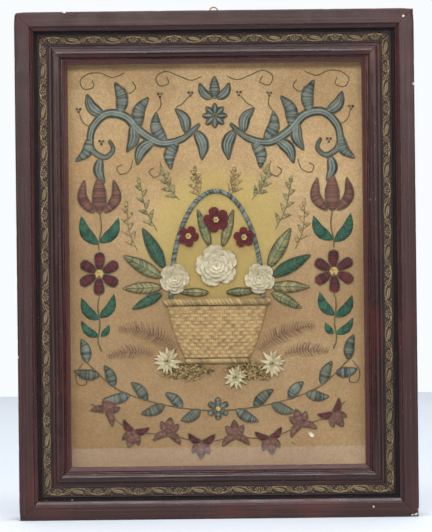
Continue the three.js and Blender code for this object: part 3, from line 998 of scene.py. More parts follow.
@dataclass
class VineStrip:
    """The pressed running vine in the bed: one closed strip on each rail, mitred and raised in its points.

    Its pitch is the length of one bay, from a crossing of the middle line to the next, and its swing is how
    far the stem goes from that line. Floor and ground are how far out its foot and its plain ground lie, and
    gap is what is left at a mitre. A leaflet is an oval's middle, half length, half width and turn.
    """

    face: Face
    pitch: float = 22.4
    swing: float = 3.7
    middle: float = 30.75
    half_width: float = 4.6
    floor: float = 35.04
    ground: float = 35.3
    grid: float = 0.43
    gap: float = 0.15
    leaflets: tuple[Row, ...] = (
        (9.7, 1.5, 2.6, 1.0, 0.7), (-9.7, 1.5, 2.6, 1.0, -0.7), (7.2, -3.3, 1.9, 0.8, 0.3),
        (-7.4, 3.4, 1.7, 0.75, 0.2), (7.4, 3.4, 1.7, 0.75, -0.2), (-7.2, -3.3, 1.9, 0.8, -0.3),
        (10.6, -2.9, 1.5, 0.9, -0.8), (-10.6, -2.9, 1.5, 0.9, 0.8),
    )

    @staticmethod
    def oval(x: Array, y: Array, spot: Row) -> Array:
        """A dome over an oval: sqrt(1 - (p / a)^2 - (q / b)^2), where p and q are turned by its angle.

        Args:
            x: places along.
            y: places across.
            spot: the oval's middle, half length, half width and turn.

        Returns:
            The height at each place, from 0 to 1.
        """
        at, up, long, wide, turn = spot
        p = (x - at) * math.cos(turn) + (y - up) * math.sin(turn)
        q = (y - up) * math.cos(turn) - (x - at) * math.sin(turn)
        return dome((p / long) ** 2 + (q / wide) ** 2)

    def height(self, u: Array, v: Array, pitch: float) -> Array:
        """How far the pattern stands above its ground. The highest of its motifs shows.

        The stem is a grooved ridge along -swing sin(pi u / pitch). In each bay that arches to the rim a half
        rosette of seven petals opens from under the arch. In the others a toothed leaf lies over the stem.
        Leaflets and curls fill the corners between them.

        Args:
            u: millimetres along, from the first mitre.
            v: millimetres across, from its middle, towards the opening.
            pitch: the length of one bay.

        Returns:
            The height in millimetres.
        """
        phase = pi * u / pitch
        slope = -self.swing * pi / pitch * cos(phase)
        away = np.abs(v + self.swing * sin(phase)) / np.hypot(1, slope)
        groove = 1 - 0.4 * np.exp(-((away / 0.22) ** 2))
        stem = 1.3 * dome((away / 0.95) ** 2) * groove

        bay = np.floor(u / pitch)
        flowers = bay % 2 == 0
        dx = u - (bay + 0.5) * pitch
        w = np.where(flowers, v, -v)

        dv = w + 1.75
        reach, angle = np.hypot(dx, dv), np.arctan2(dx, dv)
        turned = angle / 0.57
        across = (turned - np.round(turned)) / 0.46
        limit = (6.3 - 0.5 * cos(angle)) * (1 - 0.16 * across**2)
        petal = dome(across**2) * smooth(limit, limit - 0.6, reach)
        petal = petal * smooth(0.9, 2.0, reach) * (np.abs(angle) < 2.0)
        petal = petal * (0.75 + 0.45 * smooth(2.0, 5.2, reach))
        button = 1.5 * dome((reach / 1.2) ** 2)
        flower = np.maximum(petal, button)

        lx, lz = dx * 0.985 + w * 0.17, (w - 0.35) * 0.985 - dx * 0.17
        half = 3.2 * dome((np.abs(lx) / 6.9) ** 1.9) * (0.84 + 0.16 * cos(3.5 * lx))
        share = np.abs(lz) / np.maximum(half, 0.05)
        veins = 1 - 0.42 * np.exp(-((lz / 0.3) ** 2)) - 0.22 * cos(3.5 * (lx - 0.9 * np.abs(lz))) ** 2
        leaf = 1.4 * dome(share**2) * veins

        leaflets = [self.oval(dx, w, spot) for spot in self.leaflets]
        return np.maximum.reduce([stem, np.where(flowers, flower, leaf), *leaflets])

    def strip(self, rail: RailPlace) -> Surface:
        """One rail's strip, a slab whose top follows the pattern and whose ends follow the mitres.

        Args:
            rail: the rail's place.

        Returns:
            The surface, with a map of millimetres along and across.
        """
        run = rail.length - 2 * self.middle
        pitch = run / round(run / self.pitch)
        v = np.linspace(-self.half_width, self.half_width, round(2 * self.half_width / self.grid) + 1)[None]
        reach = rail.length / 2 - self.middle - v - self.gap
        along = np.linspace(-1, 1, round(run / self.grid))[:, None] * reach
        u = along + run / 2
        raised = self.height(u, v + 0 * u, pitch)
        inside = smooth(0, 0.3, self.half_width - np.abs(v)) * smooth(0, 0.5, reach - np.abs(along))
        raised = raised * inside * (0.93 + 0.07 * rumple(u, v, 9, rail.turn))
        x, z = rail.on_face(along, v + self.middle + 0 * u)
        top = self.face.from_back(x, z, self.ground - 0.2 * (1 - inside) + raised)
        foot = self.face.from_back(x[:, [0, -1]], z[:, [0, -1]], self.floor)
        relief = with_foot(np.clip(raised / 1.3, 0, 1))
        return Surface().add(slab(top, foot), slab_map(u, v), 0.5, relief)

    def build(self) -> None:
        """Makes the four strips."""
        for rail in RAILS:
            made = self.strip(rail)
            made.piece(f"vine_{rail.side}", AgedBronze(), "bronze_ornament", f"ornament_{rail.side}")


@dataclass
class Glazing:
    """Glass, slips and board, whose solids keep their own shape."""

    nodes: dict[str, Object]

    def build(self) -> None:
        """Gives each solid its finish."""
        finishes = {
            "glass_pane": Pane(),
            "backing_board": BOARD,
            "hanger_strap": BRASS,
            "hanger_tack": BRASS,
            **{f"spacer_{side}": CARD for side in ("top", "bottom", "left", "right")},
        }
        for name, finish in finishes.items():
            mesh = self.nodes[name].data
            mesh.materials.clear()
            mesh.materials.append(material_of(finish))
            LOG.info("%s: finished", name)


@dataclass
class GroundCloth:
    """The linen sheet: nearly flat, with slow hollows and a slight pull round the stitches."""

    face: Face
    width: float = 338.4
    height: float = 458.4
    thickness: float = 1.2
    middle: float = 280.0
    uneven: float = 0.09
    held_edge: float = 20.0
    grid: float = 4.2

    def build(self) -> None:
        x = np.linspace(-self.width / 2, self.width / 2, round(self.width / self.grid))[None]
        z = np.linspace(-self.height / 2, self.height / 2, round(self.height / self.grid))[:, None]
        fade = smooth(0, self.held_edge, self.width / 2 - np.abs(x))
        fade = fade * smooth(0, self.held_edge, self.height / 2 - np.abs(z))
        out = self.uneven * fade * (rumple(x, z, 83, 0.4) - 1.0 + 0.6 * rumple(x, z, 31, 1.1)) * 0.6
        x, z = np.broadcast_arrays(x, z)
        top = self.face.at(x, z + self.middle, out)
        under = self.face.at(x, z + self.middle, -self.thickness)
        rings = slab(top, np.concatenate([under[:, ::4], under[:, -1:]], 1))
        across = np.concatenate([x, x[:, ::4], x[:, -1:], x[:, :1]], 1)[:, : rings.shape[1] + 1]
        uv = np.stack([across, np.broadcast_to(z[:, :1], across.shape)], -1)
        cloth = Surface().add(rings, uv).piece("linen_ground", EvenWeave(), "ground_cloth", "ground_cloth")


# Needlework


class Lay(Enum):
    """Which way the strands of a satin-stitched shape run."""

    ALONG = "along the shape"
    ACROSS = "from edge to edge"
    FEATHER = "slanting out from the middle"


class Form(Enum):
    """How a shape's half width grows along it, as a share of the greatest."""

    LEAF = "pointed at both ends"
    PETAL = "narrow root and round tip"
    SCROLL = "thick body that thins to both ends"

    def share(self, s: Array) -> Array:
        """The form's formula for the half width.

        Args:
            s: the way along, from 0 at the root to 1 at the tip.

        Returns:
            The half width at s, as a share of the greatest.
        """
        if self is Form.LEAF:
            return sin(pi * s**0.8) ** 0.85
        if self is Form.PETAL:
            return dome(s**4) * (0.25 + 0.75 * s**0.6)
        return 0.2 + 0.8 * sin(pi * s**0.8) ** 0.75


@dataclass(frozen=True)
class Stroke:
    """One satin-stitched shape.

    Its middle line flows through the points, from root to tip. Half is its greatest half width and pad how
    high the padding under its strands stands. A couched cord follows its edge if it is outlined.
    """

    points: Line
    half: float
    lay: Lay = Lay.ALONG
    pad: float = 1.0
    outlined: bool = True
    form: Form = Form.LEAF

    def mirror(self) -> Stroke:
        """The same shape on the other side of the middle."""
        return replace(self, points=mirrored(self.points))


class Needlework:
    """Works satin shapes, couched cords and knots, and keeps one surface for each thread.

    Its sizes are millimetres: a strand's pitch from edge to edge, a floss's pitch along a shape, the ridge
    of a strand, the least thickness at a shape's edge, how deep its foot is sunk, the way from a shape to
    the cord round it and that cord's radius.
    """

    STRAND, FLOSS, RIDGE, EDGE, SUNK = 1.3, 1.9, 0.26, 0.12, 0.2
    CLEAR, COUCHED = 0.55, 0.62

    def __init__(self, face: Face) -> None:
        """Starts with no thread."""
        self.face = face
        self.work: dict[Thread, Surface] = {}

    def surface(self, thread: Thread) -> Surface:
        """The surface that holds all work in that thread."""
        return self.work.setdefault(thread, Surface())

    def satin(self, stroke: Stroke, thread: Thread, level: float = 0.0) -> None:
        """Works one shape: a padded dome across its middle line, ridged by its strands.

        The height is pad (1 - t^2)^0.6 + ridge |sin(pi phase)|, where t runs from edge to edge and the
        phase counts strands across the shape, along it, or along it less the way out from the middle.

        Args:
            stroke: the shape.
            thread: what it is worked in.
            level: how far out its foot lies.
        """
        line = flowing(stroke.points)
        length = length_of(line)
        salt = float(stroke.points[0][0] * 0.37 + stroke.points[-1][1] * 0.11)
        if stroke.lay is Lay.ALONG:
            strands = max(3, round(2 * stroke.half / self.FLOSS))
            m, n = max(8, round(length / 1.5)), 2 * strands + 1
        else:
            strands = max(5, round(length / self.STRAND))
            m, n = (2 * strands + 1, 9) if stroke.lay is Lay.ACROSS else (3 * strands, 13)
        line = resample(line, m)
        s = np.linspace(0, 1, m)[:, None]
        t = np.linspace(-1, 1, n)[None]
        half = np.maximum(stroke.half * stroke.form.share(s), 0.12)
        if stroke.lay is Lay.ALONG:
            phase = (t + 1) / 2 * strands + 0 * s
        elif stroke.lay is Lay.ACROSS:
            phase = s * strands + 0 * t
        else:
            phase = (s * length - 0.8 * np.abs(half * t)) / self.STRAND + 200
        ridge = np.abs(sin(pi * phase)) ** 0.8
        number = np.floor(phase + 1e-6)
        tone = chance(number, salt)
        # Along a shape every other strand is lighter: partly the floss's own tone and partly a painted
        # highlight on the strands.
        if stroke.lay is Lay.ALONG:
            tone = 0.6 * (number % 2) + 0.4 * tone
        else:
            half = half * (1 + 0.1 * (chance(number[:, :1], salt + 3) - 0.5))
        reach = half * t
        place = line[:, None, :] + reach[..., None] * sideways(line)[:, None, :]
        padded = stroke.pad * np.clip(1 - t**2, 0, 1) ** 0.6 * smooth(0, 0.08, s) * smooth(1, 0.92, s)
        padded = padded * (0.35 + 0.65 * half / stroke.half)
        out = level + self.EDGE + padded + self.RIDGE * ridge * (1 - 0.6 * t**4)
        # Painted shade and highlight: the strands are darker where they dip between each other and at the
        # shape's edges, and a painted sheen lightens the middle.
        sheen = 0.26 * (1 - t**2) - 0.1
        shade = np.clip(0.85 * tone * (0.4 + 0.6 * ridge) + sheen + 0.1 * drift(s * length, 17, salt), 0, 1)
        rings = slab(self.face.over(place, out), self.face.over(place[:, [0, -1]], level - self.SUNK))
        uv = slab_map(s * length, reach)
        self.surface(thread).add(rings, uv, with_foot(shade), with_foot(0.4 + 0.6 * ridge))
        if stroke.outlined:
            self.outline(stroke, level)

    def satin_pair(self, stroke: Stroke, thread: Thread) -> None:
        """Works a shape and its mirror image."""
        self.satin(stroke, thread)
        self.satin(stroke.mirror(), thread)

    def outline(self, stroke: Stroke, level: float = 0.0) -> None:
        """Couches a cord round a shape: up one edge and back along the other.

        Args:
            stroke: the shape.
            level: how far out the cord's foot lies.
        """
        line = flowing(stroke.points)
        line = resample(line, max(10, round(length_of(line) / 1.6)))
        s = np.linspace(0, 1, len(line))[:, None]
        away = stroke.half * stroke.form.share(s) + self.CLEAR
        away = away + 0.18 * drift(s * length_of(line), 13, stroke.points[0][1])
        aside = away * sideways(line)
        left, right = line + aside, line - aside
        self.cord(np.vstack([left, right[::-1], left[:1]]), OUTLINE, self.COUCHED, level)

    def cord(self, line: Array | Line, thread: Thread, radius: float, level: float = 0.0) -> None:
        """Lays a cord of round section along a line: ring angle a puts a point at radius (cos a, sin a).

        Args:
            line: points on the face. A tuple is first made a flowing line.
            thread: what the cord is.
            radius: half its thickness.
            level: how far out the cloth or pad under it lies.
        """
        line = flowing(line) if isinstance(line, tuple) else np.asarray(line, float)
        length = length_of(line)
        m, sides = max(5, round(length / 1.1)), 6
        line = resample(line, m)
        s = np.linspace(0, length, m)[:, None]
        angle = turns(sides, 0.5)[None]
        salt = float(line[0, 0] + line[0, 1])
        thick = radius * (1 + 0.12 * drift(s, 5.3, salt))
        thick = thick * smooth(-0.4, 0.8, s) * smooth(length + 0.4, length - 0.8, s)
        place = line[:, None, :] + (thick * cos(angle))[..., None] * sideways(line)[:, None, :]
        uv = np.stack(np.broadcast_arrays(s, np.arange(sides + 1)[None] / sides), -1)
        # Painted shade: the cord is lighter on top and darker underneath.
        shade = np.clip(0.5 + 0.35 * drift(s, 23, salt) + 0.15 * sin(angle), 0, 1)
        rings = self.face.over(place, level + 0.5 * radius + thick * sin(angle))
        self.surface(thread).add(rings, uv, shade, 0.5 + 0.5 * sin(angle))

    def cord_pair(self, line: Line, thread: Thread, radius: float) -> None:
        """Lays a cord and its mirror image."""
        self.cord(line, thread, radius)
        self.cord(mirrored(line), thread, radius)

    def knots(self, places: Array, radius: Array | float, thread: Thread, level: Array | float = 0.0) -> None:
        """Works French knots: small balls, each flattened, with a dimple where the thread goes down.

        Args:
            places: (k, 2) middles on the face.
            radius: each knot's radius.
            thread: what they are worked in.
            level: how far out each one's foot lies.
        """
        k = len(places)
        radius, level = (np.broadcast_to(v, (k,))[:, None, None] for v in (radius, level))
        polar = np.linspace(0.12, pi - 0.12, 7)[None, :, None]
        angle = turns(9)[None, None]
        lump = 1 + 0.12 * cos(2 * angle + 3 * polar + 6 * chance(np.arange(k), 2)[:, None, None])
        x = places[:, 0, None, None] + radius * sin(polar) * cos(angle) * lump
        z = places[:, 1, None, None] + radius * sin(polar) * sin(angle) * lump
        out = level + radius * (0.6 + 0.75 * cos(polar) - 0.25 * np.exp(-((polar / 0.5) ** 2)))
        shade = chance(np.arange(k), 5)[:, None, None]
        self.surface(thread).add(self.face.at(x, z, out), None, shade, 0.5 + 0.5 * cos(polar))

    def heart(
        self, middle: Point, reach: float, count: int, knot: float, thread: Thread,
        level: float = 0.0, turn: float = 0.0,
    ) -> None:
        """Works a flower's heart: a ring of knots round one in its middle.

        Args:
            middle: the flower's middle.
            reach: the ring's radius.
            count: knots in the ring.
            knot: a knot's radius.
            thread: what they are worked in.
            level: how far out their foot lies.
            turn: the first knot's angle.
        """
        self.knots(np.vstack([ring(*middle, reach, count, turn), middle]), knot, thread, level)

    def pieces(self, name: str, slots: dict[Thread, str] | None = None) -> None:
        """Makes one piece for each thread that was used.

        Args:
            name: how the pieces' names begin.
            slots: a slot name for a thread, where it isn't laid_thread, passed on to Surface.piece.
        """
        for thread, surface in self.work.items():
            slot = (slots or {}).get(thread, "laid_thread")
            surface.piece(f"{name}_{thread.name}", thread, slot)


@dataclass
class Handwork:
    """What each group of the work needs: the face that it lies on."""

    face: Face

    def needle(self) -> Needlework:
        """Starts a stretch of needlework."""
        return Needlework(self.face)


@dataclass
class TopGarland(Handwork):
    """Bold teal scrolls and leaves across the top, either side of the star flower.

    A row of its leaves holds a root, the way it points in degrees, its length, half width and bow.
    """

    vine: Line = (
        (17, 437), (36, 421), (60, 416), (82, 428), (100, 446), (121, 449),
        (137, 433), (138, 411), (124, 401), (114, 409), (118, 420),
    )
    scroll: float = 4.3
    leaves: tuple[Row, ...] = (
        (22, 430, 258, 34, 6.2, -0.14), (42, 417, 285, 31, 6.0, 0.16), (32, 427, 66, 30, 5.4, 0.16),
        (55, 418, 72, 34, 6.2, -0.16), (68, 419, 306, 33, 6.2, 0.16), (85, 433, 108, 36, 6.4, -0.16),
        (92, 438, 282, 32, 5.8, -0.14), (106, 449, 82, 36, 6.2, 0.14), (124, 448, 52, 30, 5.8, -0.16),
        (140, 424, 300, 31, 5.4, -0.18), (128, 400, 262, 28, 5.2, 0.16), (0, 465, 90, 25, 5.0, 0.0),
        (3, 465, 52, 22, 4.2, -0.14),
    )
    flourishes: tuple[Line, ...] = (
        ((100, 495), (114, 490), (127, 495), (141, 494), (150, 486), (145, 477), (135, 480), (137, 488)),
        ((14, 490), (26, 486), (40, 491), (54, 496), (65, 490), (61, 480), (51, 483), (54, 490)),
        ((65, 451), (60, 458), (61, 467)), ((43, 456), (36, 460), (29, 468)),
        ((137, 434), (147, 440), (151, 450)), ((62, 396), (60, 384), (68, 378), (74, 384), (69, 389)),
        ((92, 398), (96, 386), (106, 382), (110, 389), (104, 393)),
        ((92, 486), (88, 478), (96, 472), (101, 479)),
    )
    berries: Line = ((61, 470), (27, 471), (152, 454), (127, 418))
    pad: float = 1.3
    fine: float = 0.65
    cluster: float = 2.2
    berry: float = 1.5

    def build(self) -> None:
        """Works both halves: scroll, leaves, cords and clusters of knots."""
        work = self.needle()
        work.satin_pair(Stroke(self.vine, self.scroll, form=Form.SCROLL), TEAL)
        for number, (x, z, degrees, length, half, bow) in enumerate(self.leaves):
            lay = Lay.ACROSS if number % 2 else Lay.ALONG
            leaf = Stroke(bent((x, z), degrees, length, bow), half, lay, self.pad)
            work.satin(leaf, TEAL)
            if x:
                work.satin(leaf.mirror(), TEAL)
        for line in self.flourishes:
            work.cord_pair(line, FLOURISH, self.fine)
        clusters = [ring(x, z, self.cluster, 3, 0.5) for x, z in self.berries + mirrored(self.berries)]
        work.knots(np.vstack(clusters), self.berry, OUTLINE)
        work.pieces("garland", {TEAL: "teal_cord"})


@dataclass
class Flanks(Handwork):
    """A tall flowering stem at either side: tulip, leaves, a round flower and more leaves.

    A row of its leaves holds a root, the way it points in degrees, its length, half width, bow and thread.
    A petal is a length, a half width and how far its root lies from the flower's middle. A heart is the
    radius of the ring of knots, and that of a knot.
    """

    flower: Point = (131, 271)
    leaves: tuple[tuple[float, float, float, float, float, float, Thread], ...] = (
        (130, 338, 90, 42, 7.6, 0.0, MAUVE), (124, 339, 106, 38, 5.2, 0.2, MAUVE),
        (136, 339, 74, 38, 5.2, -0.2, MAUVE), (130, 306, 128, 35, 6.6, 0.14, GREEN),
        (132, 304, 60, 37, 6.6, -0.14, GREEN), (131, 222, 122, 31, 5.8, 0.14, GREEN),
        (132, 220, 52, 31, 6.0, -0.14, GREEN), (132, 201, 42, 27, 4.8, -0.14, GREEN),
        (130, 201, 126, 16, 3.8, 0.1, GREEN),
    )
    stems: tuple[Line, ...] = (
        ((130, 340), (128, 324), (131, 306), (131, 297)),
        ((131, 246), (133, 234), (131, 214), (133, 196), (129, 184)),
    )
    pad: float = 1.3
    petal: Row = (19, 7.3, 5)
    heart: Point = (3.2, 1.6)

    def build(self) -> None:
        """Works both stems."""
        work = self.needle()
        for x, z, degrees, length, half, bow, thread in self.leaves:
            outlined = thread is not GREEN
            lay = Lay.ACROSS if outlined else Lay.FEATHER
            shape = Stroke(bent((x, z), degrees, length, bow), half, lay, self.pad, outlined)
            work.satin_pair(shape, thread)
        x, z = self.flower
        length, half, away = self.petal
        for degrees in range(30, 390, 60):
            root = np.array([x, z]) + away * heading(degrees)
            petal = Stroke(bent(root, degrees, length, 0.03), half, Lay.ACROSS, self.pad, form=Form.PETAL)
            work.satin_pair(petal, BURGUNDY)
        for line in self.stems:
            work.cord_pair(line, STEM, 0.8)
        for side in (-x, x):
            work.heart((side, z), self.heart[0], 8, self.heart[1], KNOT)
        work.pieces("flank")


@dataclass
class Sprigs(Handwork):
    """Thin olive and brown sprigs round the handle, whose leaves lean so many degrees from the stem."""

    stems: tuple[Line, ...] = (
        ((66, 318), (78, 342), (84, 370)),
        ((88, 296), (97, 318), (99, 344)),
        ((40, 352), (52, 366), (58, 384)),
        ((15, 354), (21, 366), (22, 382)),
    )
    leaf: float = 13.0
    lean: float = 42
    steps: int = 8

    def sprig(self, work: Needlework, line: Line, thread: Thread) -> None:
        """One stem with small leaves that lean forward, in turns to its left and right.

        Args:
            work: the needlework that it is added to.
            line: the stem.
            thread: what its leaves are worked in.
        """
        work.cord(line, STEM, 0.5)
        path = resample(flowing(line), self.steps + 1)
        normal = sideways(path)
        for k in range(1, self.steps + 1):
            side = 1 if k % 2 else -1
            forward = math.degrees(math.atan2(-normal[k, 0], normal[k, 1]))
            lean = side * (self.lean if k < self.steps else 0)
            shape = bent(path[k], forward + lean, self.leaf * (1.1 - 0.05 * k), -0.1 * side)
            work.satin(Stroke(shape, 2.4, Lay.ACROSS, 0.6, False), thread)

    def build(self) -> None:
        """Works the sprigs and their mirror images."""
        work = self.needle()
        for k, line in enumerate(self.stems):
            thread = OLIVE if k % 2 == 0 else ROPE
            self.sprig(work, line, thread)
            self.sprig(work, mirrored(line), thread)
        work.pieces("sprigs")


@dataclass
class Festoon(Handwork):
    """A hanging chain of slate leaves under the basket, with a scroll at each end.

    Its reach is how far the root, middle and tip of a petal lie from the middle of its small flower.
    """

    line: Line = ((-146, 172), (-112, 142), (-60, 124), (0, 117), (60, 124), (112, 142), (146, 172))
    curl: Line = ((-150, 172), (-158, 160), (-156, 148), (-147, 148), (-148, 156))
    pairs: int = 8
    leaf: float = 27.0
    half: float = 5.3
    middle: Point = (0, 119)
    petals: int = 6
    reach: Row = (2.5, 7.5, 12.5)

    def build(self) -> None:
        """Sets leaves along the line, pointing to the nearer end, and a flower in the middle."""
        work = self.needle()
        path = resample(flowing(self.line), 2 * self.pairs + 1)
        normal = sideways(path)
        work.cord(self.line, OUTLINE, 0.7)
        for k in range(len(path)):
            if k == self.pairs:
                continue
            forward = 1.0 if k > self.pairs else -1.0
            side = 1.0 if k % 2 == 0 else -1.0
            along = np.array([normal[k, 1], -normal[k, 0]]) * forward
            way = along * 0.86 + side * normal[k] * 0.56
            tip = path[k] + way * self.leaf * (0.86 + 0.2 * float(chance(k, 3)))
            knee = (path[k] + tip) / 2 + side * normal[k] * 2.2
            thread = SLATE if k % 3 else TEAL
            work.satin(Stroke((path[k], knee, tip), self.half, Lay.ACROSS, 1.2), thread)
        work.cord_pair(self.curl, OUTLINE, 0.6)
        rings = [ring(*self.middle, reach, self.petals, math.pi / self.petals) for reach in self.reach]
        for points in zip(*rings):
            work.satin(Stroke(points, 3.6, Lay.ACROSS, form=Form.PETAL), TEAL)
        work.knots(ring(*self.middle, 1.6, 5), 1.2, KNOT)
        work.pieces("festoon")


@dataclass
class BudArc(Handwork):
    """A lower arc of mauve buds and tulips on a wavy stem.

    A row of its petals holds a lean in radians, a reach and a half width.
    """

    line: Line = ((-142, 126), (-104, 101), (-54, 88), (0, 84), (54, 88), (104, 101), (142, 126))
    buds: int = 8
    wave: float = 2.4
    petals: tuple[Row, ...] = ((0.0, 17.0, 4.6), (0.72, 14.5, 3.6), (-0.72, 14.5, 3.6))
    leaf: float = 3.3

    def build(self) -> None:
        """Sets a three-petalled bud at each step of the arc, in turns above and below."""
        work = self.needle()
        path = resample(flowing(self.line), 4 * self.buds + 1)
        wave = sin(np.linspace(0, self.buds * pi, len(path)))[:, None]
        path = path + self.wave * wave * sideways(path)
        normal = sideways(path)
        work.cord(path, OUTLINE, 0.65)
        for k in range(2, len(path), 4):
            side = 1.0 if (k // 4) % 2 == 0 else -1.0
            up = side * normal[k]
            over = np.array([up[1], -up[0]])
            root = path[k] + up * 2.2
            for lean, reach, half in self.petals:
                way = up * math.cos(lean) + over * math.sin(lean)
                tip = root + way * reach
                knee = root + way * reach * 0.5 + over * lean * 2.2
                work.satin(Stroke((root, knee, tip), half, Lay.ACROSS), MAUVE)
            for sign in (-1, 1):
                start = path[k] - up * 0.5
                tip = start + over * sign * 15 - up * 8.5
                knee = start + over * sign * 8 - up * 1.0
                thread = BURGUNDY if (k // 4) % 2 else MAUVE
                work.satin(Stroke((start, knee, tip), self.leaf, Lay.ACROSS), thread)
        work.pieces("bud_arc")


@dataclass
class StarFlower(Handwork):
    """The eight-petalled teal star at the top of the garland."""

    middle: Point = (0.0, 446.0)
    radius: float = 15.0
    petals: int = 8
    half: float = 3.3
    pad: float = 1.9

    def build(self) -> None:
        """Works the petals in satin, their edges in cord and the middle in knots."""
        work = self.needle()
        for k in range(self.petals):
            way = heading(90 + 360 * k / self.petals) * self.radius
            points = tuple(self.middle + way * share for share in (0.12, 0.55, 0.93))
            work.satin(Stroke(points, self.half, Lay.ALONG, self.pad), TEAL)
        star = work.work.pop(TEAL)
        star.piece("star_petals", TEAL, "teal_cord", "star_flower")
        work.heart(self.middle, 2.1, 6, 1.35, FLOURISH, 0.9)
        work.pieces("star")


# Raised work


class PetalForm(Enum):
    """A petal's outline."""

    ROUND = "broad with a round tip"
    POINTED = "narrow with a pointed tip"
    TOOTHED = "a leaflet with small teeth"


@dataclass(frozen=True)
class PetalRow:
    """A ring of like petals, the first at angle start.

    Reach is a petal's length and wide its half width, as shares of the flower's radius. Low is how far out
    its root lies, lift how much further its tip lies, cup how far its edges rise above its middle and curl
    how far its rim turns up.
    """

    count: int
    start: float
    reach: float
    wide: float
    low: float
    lift: float
    cup: float
    curl: float


def petal_rings(
    face: Face,
    root: Array,
    angle: Array,
    length: Array,
    wide: Array,
    out: tuple[Array, Array, Array, Array],
    form: PetalForm = PetalForm.ROUND,
    thick: float = 0.5,
    grid: tuple[int, int] = (12, 9),
) -> tuple[Array, Array, Array, Array]:
    """Many petals at once, each a thin closed plate.

    With a from root to tip and b from edge to edge, a point lies a times the length along its angle and b
    times the half width aside, and stands low + lift a^1.6 + cup b^2 a + curl where a nears 1.

    Args:
        face: the work's face.
        root: (k, 2) where each petal starts.
        angle: (k,) the way it points.
        length: (k,) its length.
        wide: (k,) its greatest half width.
        out: four (k,) arrays: low, lift, cup and curl.
        form: its outline.
        thick: its thickness.
        grid: points along and across.

    Returns:
        Rings, map, shade and relief, ready for Surface.add.
    """
    m, n = grid
    k = len(angle)
    a = np.linspace(0, 1, m)[None, :, None]
    b = np.linspace(-1, 1, n)[None, None]
    bear, size, half = (np.asarray(v, float)[:, None, None] for v in (angle, length, wide))
    low, lift, cup, curl = (np.broadcast_to(v, (k,))[:, None, None] for v in out)
    if form is PetalForm.ROUND:
        share = dome(a**3.2) * (0.28 + 0.72 * a**0.6)
    elif form is PetalForm.POINTED:
        share = sin(pi * (0.06 + 0.94 * a**0.75)) ** 0.8
    else:
        share = dome(a) * (0.62 + 0.38 * np.abs(cos(3.5 * pi * a)))
    share = np.maximum(share, 0.03)
    number = np.arange(k)[:, None, None]
    sway = 0.06 * size * sin(pi * a) * (chance(number, 7) - 0.5)
    aside = b * half * share + sway
    x = root[:, 0, None, None] + a * size * cos(bear) - aside * sin(bear)
    z = root[:, 1, None, None] + a * size * sin(bear) + aside * cos(bear)
    ripple = 0.08 * half * sin(5 * b + 9 * chance(number, 4) + 3 * a) * a
    height = low + lift * a**1.6 + cup * b**2 * a**0.7 + curl * smooth(0.7, 1, a) * (1 - 0.3 * b**2) + ripple
    thin = thick * (0.3 + 0.7 * (1 - b**2) * (1 - a**4))
    rings = slab(face.at(x, z, height), face.at(x, z, height - thin))
    sides = np.concatenate([aside, aside[..., ::-1], aside[..., :1]], -1)
    uv = np.stack([np.broadcast_to(a * size, sides.shape), sides], -1)
    shade = np.broadcast_to(chance(number, 11), (k, m, 2 * n))
    # Painted shade: the relief value is lower towards each petal's root and lower still on its underside, and
    # the plant finishes draw it darker there.
    rise = 0.25 + 0.75 * a**0.8 * (0.8 + 0.2 * b**2)
    relief = np.broadcast_to(np.concatenate([rise, 0.4 * rise], -1), (k, m, 2 * n))
    return rings, uv, shade, relief


